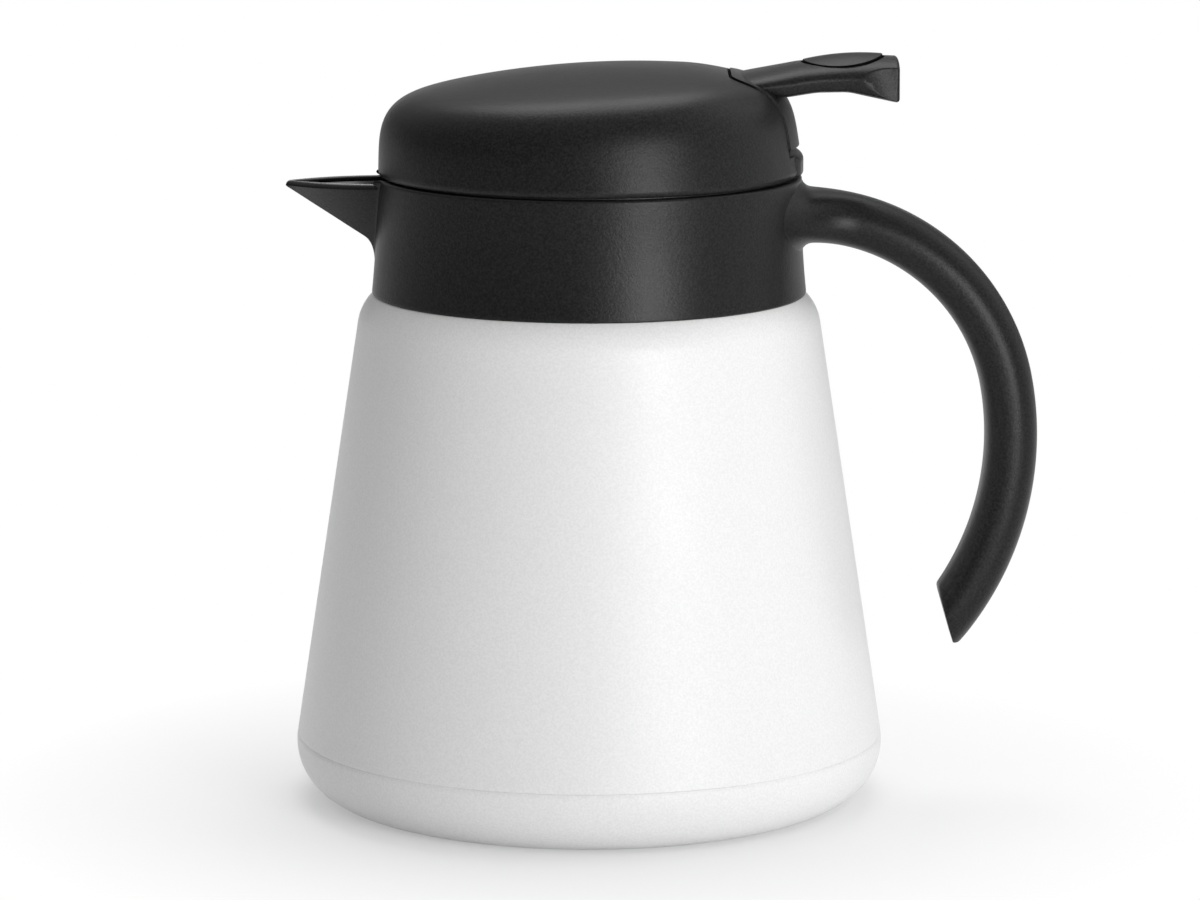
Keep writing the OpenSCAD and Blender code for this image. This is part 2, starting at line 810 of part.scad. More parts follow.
module thumb_pad() {
    crown = pad_recess + pad_crown;
    pad_curve = lever_crown_r;
    color("#3a3a3a") translate([pad_x, 0, pad_seat]) rotate([0, -pad_slope, 0]) intersection() {
        cylinder(r = pad_r, h = 2 * crown);
        translate([0, 0, crown - pad_curve]) sphere(pad_curve, $fn = 180);
    }
}

// Valve

module valve_stem() {
    color("silver") translate([0, 0, valve_top]) cylinder(r = stem_r, h = cap_low - valve_top);
}

module stem_cap() {
    color("#3a3a3a") translate([0, 0, cap_low]) cylinder(r = cap_r, h = cap_t);
}

module valve_plug() {
    color("#3a3a3a") union() {
        translate([0, 0, valve_low]) cylinder(r = washer_r, h = valve_t);
        translate([0, 0, seat_top]) cylinder(r = washer_in, h = washer_t + eps);
    }
}

module valve_gasket() {
    color("gainsboro") ring(washer_r, washer_in, seat_top, seat_top + washer_t);
}

module gasket_retainer() {
    color("#3a3a3a") translate([0, 0, seat_top - retainer_t]) cylinder(r = retainer_r, h = retainer_t);
}

outer_shell();
bottom_cup();
inner_liner();
getter();
seal_bead();
neck_gasket();
collar();
lid_dome();
lid_base();
stopper_gasket();
lid_screws();
pivot_pin();
stem_seal();
valve_spring();
lever();
thumb_pad();
valve_stem();
stem_cap();
valve_plug();
valve_gasket();
gasket_retainer();
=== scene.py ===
"""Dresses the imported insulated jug: fine surfaces, finishes, studio light and camera.

Sizes of the jug's parts are millimetres and those of the studio are metres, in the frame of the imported
model: +Z is up, the table is z = 0, the vessel's axis is the Z axis, the spout points to -X and the handle
and the lever to +X.
"""

from __future__ import annotations

import logging
import math
from collections.abc import Callable
from dataclasses import dataclass
from enum import Enum

import bpy
import numpy as np
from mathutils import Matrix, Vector

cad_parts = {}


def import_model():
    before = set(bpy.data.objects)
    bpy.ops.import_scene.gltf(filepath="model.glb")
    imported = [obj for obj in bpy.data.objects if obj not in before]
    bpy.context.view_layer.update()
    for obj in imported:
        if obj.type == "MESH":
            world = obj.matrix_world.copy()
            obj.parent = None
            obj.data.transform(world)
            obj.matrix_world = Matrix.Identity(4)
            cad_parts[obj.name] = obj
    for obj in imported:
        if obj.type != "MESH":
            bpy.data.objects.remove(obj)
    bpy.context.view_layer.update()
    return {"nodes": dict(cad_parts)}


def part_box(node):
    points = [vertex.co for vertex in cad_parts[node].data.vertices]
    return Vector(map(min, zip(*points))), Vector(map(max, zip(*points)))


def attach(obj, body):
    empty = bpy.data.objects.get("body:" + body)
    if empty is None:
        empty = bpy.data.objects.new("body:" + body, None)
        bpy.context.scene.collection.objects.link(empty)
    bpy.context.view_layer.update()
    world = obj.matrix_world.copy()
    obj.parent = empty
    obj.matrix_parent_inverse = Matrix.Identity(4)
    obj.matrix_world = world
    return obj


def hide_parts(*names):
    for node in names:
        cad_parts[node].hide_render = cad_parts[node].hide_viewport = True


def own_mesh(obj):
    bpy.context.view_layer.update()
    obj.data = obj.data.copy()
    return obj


LOG = logging.getLogger("jug")
MM = 0.001
WELD_STEP = 1e-7
HALVINGS = 44
TINY = 1e-9
SOFT_DEPTH = 2.0
HANDLING_SCALE = 24.0


class Body(Enum):
    """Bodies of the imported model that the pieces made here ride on."""

    JUG = "jug"
    LID = "lid"
    LEVER = "lever"


class Texture(Enum):
    """Kinds of fine surface, which tell apart the materials of one slot. BRUSHED draws rings; one kind is
    painted shade.
    """

    POWDER = "powder"
    MOULDED = "moulded"
    POLISHED = "polished"
    # Painted shade on the pad's groove face, not a surface texture of its own.
    PAINTED_SHADE = "shaded"
    BRUSHED = "brushed"
    SOFT = "soft"
    SINTERED = "sintered"


# Small numeric helpers


def smooth_step(t: np.ndarray) -> np.ndarray:
    """Eases 0 to 1 by 3 t squared minus 2 t cubed, flat at both ends."""
    t = np.clip(t, 0.0, 1.0)
    return t * t * (3.0 - 2.0 * t)


def smooth_max(a: np.ndarray, b: np.ndarray, width: np.ndarray | float) -> np.ndarray:
    """Larger of a and b, rounded by a parabola where they differ by less than width.

    Args:
        a: First values.
        b: Second values.
        width: Difference over which the corner is rounded.

    Returns:
        The rounded maximum, which lies a quarter of width above the corner.
    """
    share = np.clip(0.5 + 0.5 * (a - b) / width, 0.0, 1.0)
    return b + (a - b) * share + width * share * (1.0 - share)


def heading(angle: np.ndarray | float) -> np.ndarray:
    """Unit vectors at angles in radians: cosine and sine."""
    return np.stack([np.cos(angle), np.sin(angle)], axis=-1)


def full_turn(count: int) -> np.ndarray:
    """Evenly spaced angles all the way round, in radians."""
    return np.linspace(0.0, 2.0 * np.pi, count, endpoint=False)


def around_axis(r: np.ndarray, angle: np.ndarray, z: np.ndarray) -> np.ndarray:
    """Points (r cos a, r sin a, z) about the Z axis, with the three arrays broadcast together."""
    return np.stack(np.broadcast_arrays(r * np.cos(angle), r * np.sin(angle), z), axis=-1)


def signed_power(value: np.ndarray, power: np.ndarray | float) -> np.ndarray:
    """Size of a value raised to a power, with the value's own sign."""
    return np.sign(value) * np.abs(value) ** power


def rounding(away: np.ndarray, radius: float) -> np.ndarray:
    """Fall of a quarter circle: the radius at no distance away, nothing from the radius on."""
    close = np.clip(radius - away, 0.0, radius)
    return radius - np.sqrt(radius**2 - close**2)


def arc(centre: tuple[float, float], radius: float, start: float, stop: float, count: int) -> np.ndarray:
    """Points of a circular arc: centre plus radius times cosine and sine of angles from start to stop.

    Args:
        centre: Centre in the plane.
        radius: Radius.
        start: First angle in degrees.
        stop: Last angle in degrees.
        count: Number of points.

    Returns:
        Array of count points.
    """
    return np.asarray(centre) + radius * heading(np.radians(np.linspace(start, stop, count)))


def line(start: tuple[float, float], stop: tuple[float, float], count: int) -> np.ndarray:
    """Evenly spaced points from start to stop, both included."""
    return np.linspace(np.asarray(start, float), np.asarray(stop, float), count)


def halve(inside: Callable[[np.ndarray], np.ndarray], low: np.ndarray, high: np.ndarray) -> np.ndarray:
    """Finds where a test changes from true to false between two arrays, by halving every interval at once.

    Args:
        inside: Function that takes an array of trial values and returns an array of truths.
        low: Values at which the test holds.
        high: Values at which it fails.

    Returns:
        Array of the boundary values.
    """
    for _ in range(HALVINGS):
        middle = (low + high) / 2.0
        held = inside(middle)
        low = np.where(held, middle, low)
        high = np.where(held, high, middle)
    return low


# Meshes


@dataclass
class Patch:
    """A grid of points, rows by columns, that may close on itself either way.

    Faces whose points are all marked wear a second finish.
    """

    points: np.ndarray
    wrap_rows: bool = False
    wrap_cols: bool = False
    marked: np.ndarray | None = None

    def quads(self) -> np.ndarray:
        """Corner numbers of the grid's quads, four to a row.

        Returns:
            Array of quads.
        """
        rows, cols = self.points.shape[:2]
        i = np.arange(rows if self.wrap_rows else rows - 1)
        j = np.arange(cols if self.wrap_cols else cols - 1)
        i, j = np.meshgrid(i, j, indexing="ij")
        below = (i + 1) % rows
        beside = (j + 1) % cols
        corners = [i * cols + j, i * cols + beside, below * cols + beside, below * cols + j]
        return np.stack(corners, axis=-1).reshape(-1, 4)

    def marks(self, quads: np.ndarray) -> np.ndarray:
        """Truth for each quad whose four corners are all marked.

        Args:
            quads: Corner numbers of the quads.

        Returns:
            Array of truths.
        """
        if self.marked is None:
            return np.zeros(len(quads), bool)
        return self.marked.reshape(-1)[quads].all(axis=1)


def weld(points: np.ndarray, quads: np.ndarray) -> tuple[np.ndarray, list[list[int]], np.ndarray]:
    """Merges points that coincide and folds quads that lose a corner into triangles.

    Args:
        points: Array of points in metres.
        quads: Corner numbers.

    Returns:
        The merged points, the faces that are left, and the number of the quad that each came from.
    """
    keys = np.round(points / WELD_STEP).astype(np.int64)
    _, first, where = np.unique(keys, axis=0, return_index=True, return_inverse=True)
    faces = where.reshape(-1)[quads]
    doubled = faces == np.roll(faces, -1, axis=1)
    count = doubled.sum(axis=1)
    triangles = faces[count == 1][~doubled[count == 1]].reshape(-1, 3)
    source = np.concatenate([np.flatnonzero(count == 0), np.flatnonzero(count == 1)])
    return points[first], faces[count == 0].tolist() + triangles.tolist(), source


def turned_out(points: np.ndarray, quads: np.ndarray) -> np.ndarray:
    """Turns the quads of a closed patch round if the volume that they enclose comes out negative.

    Args:
        points: Points of the patch.
        quads: Corner numbers.

    Returns:
        Corner numbers that face outwards.
    """
    a, b, c, d = (points[quads[:, k]] for k in range(4))
    volume = np.einsum("ij,ij->", a, np.cross(b, c)) + np.einsum("ij,ij->", a, np.cross(c, d))
    return quads if volume >= 0.0 else quads[:, ::-1]


def placed(name: str, data: bpy.types.ID | None) -> bpy.types.Object:
    """Makes an object with the given data and links it to the scene.

    Args:
        name: Name of the object.
        data: Mesh, camera or light.

    Returns:
        The new object.
    """
    thing = bpy.data.objects.new(name, data)
    bpy.context.scene.collection.objects.link(thing)
    return thing


def make_piece(
    name: str,
    patches: list[Patch],
    body: Body,
    finish: "Finish",
    replaced: tuple[str, ...] = (),
    sharp: float = 40.0,
    second: "Finish | None" = None,
) -> bpy.types.Object:
    """Makes one object from closed patches given in millimetres.

    Args:
        name: Name of the piece.
        patches: Closed grids of points.
        body: Body that the piece rides on.
        finish: Finish that dresses it.
        replaced: CAD nodes that the piece stands for.
        sharp: Edges that turn by more degrees than this are shaded as sharp.
        second: Finish of the marked faces.

    Returns:
        The new object.
    """
    all_points = []
    all_quads = []
    all_marks = []
    base = 0
    for patch in patches:
        flat = patch.points.reshape(-1, 3) * MM
        quads = turned_out(flat, patch.quads())
        all_marks.append(patch.marks(quads))
        all_quads.append(quads + base)
        all_points.append(flat)
        base += len(flat)
    points, faces, source = weld(np.concatenate(all_points), np.concatenate(all_quads))
    mesh = bpy.data.meshes.new(name)
    mesh.from_pydata(points.tolist(), [], faces)
    mesh.shade_smooth()
    mesh.set_sharp_from_angle(angle=math.radians(sharp))
    mesh.materials.append(finish.material())
    if second:
        mesh.materials.append(second.material())
        mesh.polygons.foreach_set("material_index", np.concatenate(all_marks)[source].astype(np.int32))
    piece = placed(name, mesh)
    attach(piece, body.value)
    if replaced:
        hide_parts(*replaced)
    LOG.info("piece %s: %d points, %d faces", name, len(points), len(faces))
    return piece


def carve(piece: bpy.types.Object, cutter: Patch, operation: str, sharp: float) -> None:
    """Cuts a piece with a closed patch and keeps the result as the piece's own mesh.

    Args:
        piece: Object that is cut.
        cutter: Closed grid of points in millimetres.
        operation: DIFFERENCE to take the patch's volume away, INTERSECT to keep only what lies in it.
        sharp: Edges that turn by more degrees than this are shaded as sharp.
    """
    flat = cutter.points.reshape(-1, 3) * MM
    points, faces, _ = weld(flat, turned_out(flat, cutter.quads()))
    mesh = bpy.data.meshes.new("cutter")
    mesh.from_pydata(points.tolist(), [], faces)
    tool = placed("cutter", mesh)
    modifier = piece.modifiers.new("cut", "BOOLEAN")
    modifier.operation = operation
    modifier.solver = "EXACT"
    modifier.object = tool
    graph = bpy.context.evaluated_depsgraph_get()
    done = bpy.data.meshes.new_from_object(piece.evaluated_get(graph))
    piece.modifiers.clear()
    piece.data = done
    bpy.data.objects.remove(tool)
    bpy.data.meshes.remove(mesh)
    done.shade_smooth()
    done.set_sharp_from_angle(angle=math.radians(sharp))
    LOG.info("carved %s: %d faces", piece.name, len(done.polygons))


def drawn_in(ring: np.ndarray) -> np.ndarray:
    """A ring of points drawn together to its middle."""
    return np.broadcast_to(ring.mean(axis=1, keepdims=True), ring.shape)


def capped(points: np.ndarray) -> Patch:
    """Closes a tube of rings by drawing its first and last ring together to their middles."""
    return Patch(np.concatenate([drawn_in(points[:1]), points, drawn_in(points[-1:])]), False, True)


def box_tube(x: np.ndarray, low: np.ndarray, high: np.ndarray, near: float, far: float) -> Patch:
    """Bar along x whose square sections run from low to high in z and from near to far in y.

    Args:
        x: Places of the sections.
        low: Underside of each section.
        high: Top of each section.
        near: Least y.
        far: Greatest y.

    Returns:
        Closed patch.
    """
    y = np.array([near, far, far, near])
    z = np.stack([low, low, high, high], axis=-1)
    return capped(np.stack(np.broadcast_arrays(x[:, None], y[None, :], z), axis=-1))


def revolve(profile: np.ndarray, columns: int) -> np.ndarray:
    """Surface of revolution: each profile point (r, z) goes to (r cos a, r sin a, z) for angles all round.

    Args:
        profile: Points of the half section.
        columns: Number of angles.

    Returns:
        Grid of points, profile by angle.
    """
    return around_axis(profile[:, 0:1], full_turn(columns), profile[:, 1:2])


# Finishes


class Graph:
    """Adds nodes and links to one node tree."""

    def __init__(self, tree: bpy.types.NodeTree) -> None:
        """Keeps the tree that nodes are added to."""
        self.tree = tree

    @classmethod
    def cleared(cls, owner: bpy.types.Material | bpy.types.World) -> Graph:
        """Empties the node tree of a material or a world and returns a graph on it.

        Args:
            owner: Material or world.

        Returns:
            Graph on its empty tree.
        """
        owner.use_nodes = True
        owner.node_tree.nodes.clear()
        return cls(owner.node_tree)

    def add(self, kind: str, **values: object) -> bpy.types.Node:
        """Adds a node and fills its inputs.

        Args:
            kind: Blender's name of the node.
            values: Input names, with _ for a space, and constants or output sockets. Names of the
                node's own settings are set as they are.

        Returns:
            The node.
        """
        node = self.tree.nodes.new(kind)
        settings = {key: value for key, value in values.items() if hasattr(node, key)}
        for key, value in settings.items():
            setattr(node, key, value)
        for key, value in values.items():
            if key not in settings:
                self.put(node.inputs[key.replace("_", " ")], value)
        return node

    def put(self, socket: bpy.types.NodeSocket, value: object) -> None:
        """Links an output to the socket, or sets a constant on it.

        Args:
            socket: Input socket.
            value: Output socket or constant.
        """
        if isinstance(value, bpy.types.NodeSocket):
            self.tree.links.new(value, socket)
        else:
            socket.default_value = value

    def maths(self, operation: str, a: object, b: object) -> bpy.types.NodeSocket:
        """Adds a maths node with two inputs and returns its output.

        Args:
            operation: Blender's name of the operation.
            a: First input.
            b: Second input.

        Returns:
            Output socket.
        """
        node = self.add("ShaderNodeMath", operation=operation)
        self.put(node.inputs[0], a)
        self.put(node.inputs[1], b)
        return node.outputs[0]

    def spread(
        self, value: object, low: float, high: float, to_low: object, to_high: object
    ) -> bpy.types.NodeSocket:
        """Maps a value from one range to another, clamped, and returns the output.

        Args:
            value: Value that is mapped.
            low: Start of its range.
            high: End of its range.
            to_low: Result at the start.
            to_high: Result at the end.

        Returns:
            Output socket.
        """
        node = self.add(
            "ShaderNodeMapRange", Value=value, From_Min=low, From_Max=high, To_Min=to_low, To_Max=to_high
        )
        return node.outputs["Result"]


class Effects:
    """Shader groups that several finishes share, each built once."""

    made: dict[str, bpy.types.NodeTree] = {}
    coarse_scale: float = 0.31
    speck_range: tuple[float, float] = (0.36, 0.64)
    cloud_range: tuple[float, float] = (0.3, 0.7)

    @classmethod
    def group(
        cls, name: str, inputs: dict[str, float], outputs: tuple[str, ...], fill: Callable[..., None]
    ) -> bpy.types.NodeTree:
        """Builds a group on first use.

        Args:
            name: Name of the group.
            inputs: Names and values of its inputs.
            outputs: Names of its outputs.
            fill: Function that gets the graph, the input sockets and the output node's inputs.

        Returns:
            The group's node tree.
        """
        if name not in cls.made:
            tree = bpy.data.node_groups.new(name, "ShaderNodeTree")
            for key, value in inputs.items():
                socket = tree.interface.new_socket(key, in_out="INPUT", socket_type="NodeSocketFloat")
                socket.default_value = value
            for key in outputs:
                tree.interface.new_socket(key, in_out="OUTPUT", socket_type="NodeSocketFloat")
            graph = Graph(tree)
            start = graph.add("NodeGroupInput")
            end = graph.add("NodeGroupOutput")
            fill(graph, start.outputs, end.inputs)
            cls.made[name] = tree
        return cls.made[name]

    @classmethod
    def grain(cls) -> bpy.types.NodeTree:
        """Fine grain of a moulded or coated face: two sizes of noise, as a height and as specks.

        Returns:
            The group's node tree.
        """

        def fill(graph: Graph, given: bpy.types.NodeOutputs, out: bpy.types.NodeInputs) -> None:
            """Adds the group's nodes.

            Args:
                graph: Graph of the group.
                given: Sockets of the group's inputs.
                out: Sockets of its outputs.
            """
            place = graph.add("ShaderNodeTexCoord").outputs["Object"]
            fine = graph.add(
                "ShaderNodeTexNoise", Vector=place, Scale=given["Scale"], Detail=2.0, Roughness=0.6
            )
            wide = graph.maths("MULTIPLY", given["Scale"], cls.coarse_scale)
            coarse = graph.add("ShaderNodeTexNoise", Vector=place, Scale=wide, Detail=1.0)
            low = graph.maths("MULTIPLY", coarse.outputs["Fac"], given["Coarse"])
            graph.put(out["Height"], graph.maths("ADD", fine.outputs["Fac"], low))
            graph.put(out["Specks"], graph.spread(fine.outputs["Fac"], *cls.speck_range, 0.0, 1.0))

        return cls.group("fine grain", {"Scale": 3000.0, "Coarse": 0.5}, ("Height", "Specks"), fill)

    @classmethod
    def cloud(cls) -> bpy.types.NodeTree:
        """Slow change over the surface, such as handling leaves, between two values.

        Returns:
            The group's node tree.
        """

        def fill(graph: Graph, given: bpy.types.NodeOutputs, out: bpy.types.NodeInputs) -> None:
            """Adds the group's nodes.

            Args:
                graph: Graph of the group.
                given: Sockets of the group's inputs.
                out: Sockets of its outputs.
            """
            place = graph.add("ShaderNodeTexCoord").outputs["Object"]
            noise = graph.add(
                "ShaderNodeTexNoise", Vector=place, Scale=given["Scale"], Detail=4.0, Roughness=0.55
            )
            value = graph.spread(noise.outputs["Fac"], *cls.cloud_range, given["Low"], given["High"])
            graph.put(out["Value"], value)

        return cls.group("slow cloud", {"Scale": 30.0, "Low": 0.4, "High": 0.5}, ("Value",), fill)

    @classmethod
    def brush(cls) -> bpy.types.NodeTree:
        """Rings brushed round the axis: noise over angle, height and radius, drawn out along the angle.

        Returns:
            The group's node tree.
        """

        def fill(graph: Graph, given: bpy.types.NodeOutputs, out: bpy.types.NodeInputs) -> None:
            """Adds the group's nodes.

            Args:
                graph: Graph of the group.
                given: Sockets of the group's inputs.
                out: Sockets of its outputs.
            """
            place = graph.add("ShaderNodeTexCoord").outputs["Object"]
            parts = graph.add("ShaderNodeSeparateXYZ", Vector=place)
            angle = graph.maths("ARCTAN2", parts.outputs["Y"], parts.outputs["X"])
            rise = graph.maths("MULTIPLY", parts.outputs["Z"], given["Lines"])
            reach = graph.add("ShaderNodeVectorMath", operation="LENGTH")
            flat = graph.add("ShaderNodeCombineXYZ", X=parts.outputs["X"], Y=parts.outputs["Y"])
            graph.put(reach.inputs[0], flat.outputs["Vector"])
            ring = graph.maths("MULTIPLY", reach.outputs["Value"], given["Lines"])
            drawn = graph.add("ShaderNodeCombineXYZ", X=angle, Y=rise, Z=ring)
            noise = graph.add("ShaderNodeTexNoise", Vector=drawn.outputs["Vector"], Scale=1.0, Detail=3.0)
            graph.put(out["Height"], noise.outputs["Fac"])

        return cls.group("brushed rings", {"Lines": 4000.0}, ("Height",), fill)


@dataclass(frozen=True)
class Finish:
    """One finish: its colour, its gloss and the fine texture of its surface."""

    slot: str
    texture: Texture
    color: tuple[float, float, float]
    tint: float
    gloss: tuple[float, float]
    grain: float
    relief: float
    metallic: float = 0.0
    specular: float = 0.5
    sheen: float = 0.0
    subsurface: float = 0.0

    def material(self) -> bpy.types.Material:
        """Builds the material on first use and returns it.

        Returns:
            The material.
        """
        name = self.slot + "_" + self.texture.value
        found = bpy.data.materials.get(name)
        if found:
            return found
        material = bpy.data.materials.new(name)
        graph = Graph.cleared(material)
        shader = graph.add("ShaderNodeBsdfPrincipled", Metallic=self.metallic)
        shader.inputs["Specular IOR Level"].default_value = self.specular
        shader.inputs["Sheen Weight"].default_value = self.sheen
        shader.inputs["Subsurface Weight"].default_value = self.subsurface
        shader.inputs["Subsurface Scale"].default_value = SOFT_DEPTH * MM
        grain = graph.add("ShaderNodeGroup", node_tree=Effects.grain(), Scale=self.grain)
        cloud = graph.add("ShaderNodeGroup", node_tree=Effects.cloud(), Scale=HANDLING_SCALE)
        cloud.inputs["Low"].default_value = self.gloss[0]
        cloud.inputs["High"].default_value = self.gloss[1]
        rough = cloud.outputs["Value"]
        height = grain.outputs["Height"]
        tone = grain.outputs["Specks"]
        if self.texture is Texture.BRUSHED:
            rings = graph.add("ShaderNodeGroup", node_tree=Effects.brush(), Lines=self.grain)
            height = rings.outputs["Height"]
            tone = rings.outputs["Height"]
        mix = graph.add("ShaderNodeMix", data_type="RGBA")
        graph.put(mix.inputs["Factor"], tone)
        graph.put(mix.inputs["A"], (*(c * (1.0 - self.tint) for c in self.color), 1.0))
        graph.put(mix.inputs["B"], (*(min(1.0, c * (1.0 + self.tint)) for c in self.color), 1.0))
        graph.put(shader.inputs["Base Color"], mix.outputs["Result"])
        graph.put(shader.inputs["Roughness"], rough)
        bump = graph.add("ShaderNodeBump", Height=height, Strength=1.0, Distance=self.relief * MM)
        graph.put(shader.inputs["Normal"], bump.outputs["Normal"])
        out = graph.add("ShaderNodeOutputMaterial")
        graph.put(out.inputs["Surface"], shader.outputs["BSDF"])
        return material


COATED_STEEL = Finish(
    "coated_steel", Texture.POWDER, (0.78, 0.78, 0.78),
    tint=0.04, gloss=(0.42, 0.50), grain=2200.0, relief=0.012,
)
BARE_STEEL = Finish(
    "bare_steel", Texture.BRUSHED, (0.60, 0.60, 0.61),
    tint=0.10, gloss=(0.24, 0.36), grain=5200.0, relief=0.012, metallic=1.0,
)
GETTER = Finish(
    "getter", Texture.SINTERED, (0.22, 0.22, 0.23),
    tint=0.25, gloss=(0.55, 0.75), grain=4200.0, relief=0.05, metallic=0.7,
)
SEAL_BEAD = Finish(
    "seal_bead", Texture.SINTERED, (0.42, 0.42, 0.44),
    tint=0.12, gloss=(0.35, 0.55), grain=1500.0, relief=0.04, metallic=0.9,
)
SILICONE = Finish(
    "silicone", Texture.SOFT, (0.70, 0.70, 0.69),
    tint=0.04, gloss=(0.45, 0.6), grain=1800.0, relief=0.01, specular=0.4, sheen=0.1, subsurface=0.3,
)
BLACK_PLASTIC = Finish(
    "black_plastic", Texture.MOULDED, (0.0075, 0.0075, 0.0077),
    tint=0.70, gloss=(0.35, 0.42), grain=2200.0, relief=0.045, specular=0.24,
)
BLACK_GLOSS = Finish(
    "black_plastic", Texture.POLISHED, (0.006, 0.006, 0.0062),
    tint=0.20, gloss=(0.14, 0.20), grain=2200.0, relief=0.003,
)
PAD_PLASTIC = Finish(
    "pad_plastic", Texture.MOULDED, (0.010, 0.010, 0.0102),
    tint=0.60, gloss=(0.35, 0.42), grain=2200.0, relief=0.045, specular=0.24,
)
# Painted shade: near-black, hardly reflecting colour on the pad's edge wall and foot, standing for the shade
# in the groove round the pad.
PAINTED_GROOVE_SHADE = Finish(
    "pad_plastic", Texture.PAINTED_SHADE, (0.0012, 0.0012, 0.0012),
    tint=0.30, gloss=(0.55, 0.65), grain=2200.0, relief=0.010, specular=0.04,
)
GREY_PLASTIC = Finish(
    "grey_plastic", Texture.MOULDED, (0.035, 0.035, 0.036),
    tint=0.12, gloss=(0.32, 0.44), grain=2200.0, relief=0.008,
)


# Sub-assemblies


@dataclass
class Vessel:
    """White coated shell and base cup, both thin revolved sheets, with bare steel inside."""

    base_r: float = 61.68
    lean: float = 8.7
    base_round: float = 12.0
    shoulder_h: float = 101.0
    shoulder_round: float = 10.0
    neck_r: float = 40.009
    steel: float = 0.8
    shell_top: float = 118.19
    foot_w: float = 5.5
    recess: float = 2.0
    dimple_h: float = 1.2
    dimple_r: float = 8.0
    recess_slope: float = 45.0
    foot_ease: tuple[float, float, float] = (0.3, 0.12, 0.4)
    turn_short: float = 2.0
    weld_groove: float = 0.16
    weld_ease: float = 0.02
    groove_mid: tuple[float, float] = (0.5, 0.35)
    columns: int = 288

    @property
    def weld_h(self) -> float:
        """Height of the weld between the cup and the shell."""
        return self.base_round * (1.0 + math.sin(math.radians(self.lean)))

    def cone_r(self, z: float) -> float:
        """Radius of the leaning side wall at a height."""
        return self.base_r - (z - self.weld_h) * math.tan(math.radians(self.lean))

    def shell_line(self, inset: float) -> np.ndarray:
        """Section of the shell from the weld up, moved in by inset: leaning wall, shoulder's arc, neck.

        Args:
            inset: Distance inside the outer face.

        Returns:
            Points (r, z).
        """
        lean = math.radians(self.lean)
        centre_x = self.cone_r(self.shoulder_h) - self.shoulder_round * math.cos(lean)
        centre_z = self.shoulder_h - self.shoulder_round * math.sin(lean)
        radius = self.shoulder_round - inset
        neck = self.neck_r - inset
        top = math.degrees(math.acos((neck - centre_x) / radius))
        turn = arc((centre_x, centre_z), radius, self.lean, top, 28)
        low_z = self.weld_h
        low = (self.cone_r(low_z) - inset / math.cos(lean), low_z)
        wall = line(low, tuple(turn[0]), 60)[:-1]
        lip = line(tuple(turn[-1]), (neck, self.shell_top), 8)[1:]
        return np.concatenate([wall, turn, lip])

    def shell(self) -> Patch:
        """Shell: the weld's eased edge, the outer line up and the inner line down, revolved.

        Returns:
            Closed patch.
        """
        groove = self.weld_groove
        seam = self.weld_h
        share, rise = self.groove_mid
        eased = np.array(
            [
                [self.cone_r(seam) - groove, seam],
                [self.cone_r(seam) - share * groove, seam + rise * groove],
                [self.cone_r(seam + groove) - self.weld_ease, seam + groove],
                [self.cone_r(seam + 2.0 * groove), seam + 2.0 * groove],
            ]
        )
        outer = self.shell_line(0.0)[1:]
        inner = self.shell_line(self.steel)[::-1]
        return Patch(revolve(np.concatenate([eased, outer, inner]), self.columns), True, True)

    def cup(self) -> Patch:
        """Base cup: recess, foot ring and rounded edge, and the same line a sheet further in, revolved.

        Returns:
            Closed patch.
        """
        foot_r = self.cone_r(self.base_round) - self.base_round / math.cos(math.radians(self.lean))
        dish = foot_r - self.foot_w
        slope = self.steel * math.tan(math.radians(self.recess_slope / 2.0))
        groove = self.weld_groove
        share, rise = self.groove_mid
        before, lift, after = self.foot_ease
        stop = self.lean - self.turn_short
        turn = arc((foot_r, self.base_round), self.base_round, -90.0, stop, 40)
        under = np.array(
            [
                [0.0, self.recess + self.dimple_h],
                [self.dimple_r - self.dimple_h, self.recess + self.dimple_h],
                [self.dimple_r, self.recess],
                [dish - self.recess, self.recess],
                [dish - before, lift],
                [dish + after, 0.0],
            ]
        )
        seam = self.weld_h
        rim = np.array(
            [
                [self.cone_r(seam) - self.weld_ease, seam - 2.0 * groove],
                [self.cone_r(seam) - share * groove, seam - rise * groove],
                [self.cone_r(seam) - groove, seam],
                [self.cone_r(seam) - self.steel, seam],
            ]
        )
        inner_turn = arc((foot_r, self.base_round), self.base_round - self.steel, stop, -90.0, 30)
        top = self.recess + self.steel
        above = np.array(
            [
                [dish + slope, self.steel],
                [dish + slope - self.recess, top],
                [self.dimple_r + slope, top],
                [self.dimple_r + slope - self.dimple_h, top + self.dimple_h],
                [0.0, top + self.dimple_h],
            ]
        )
        profile = np.concatenate([under, turn, rim, inner_turn, above])
        return Patch(revolve(profile, self.columns), False, True)

    def build(self, nodes: dict[str, bpy.types.Object]) -> None:
        """Makes the shell and the cup and dresses the steel inside.

        Args:
            nodes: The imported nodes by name.
        """
        make_piece("shell_coat", [self.shell()], Body.JUG, COATED_STEEL, ("outer_shell",))
        make_piece("base_cup", [self.cup()], Body.JUG, COATED_STEEL, ("bottom_cup",))
        inside = {
            "inner_liner": BARE_STEEL,
            "getter": GETTER,
            "seal_bead": SEAL_BEAD,
            "neck_gasket": SILICONE,
        }
        dress(nodes, inside)


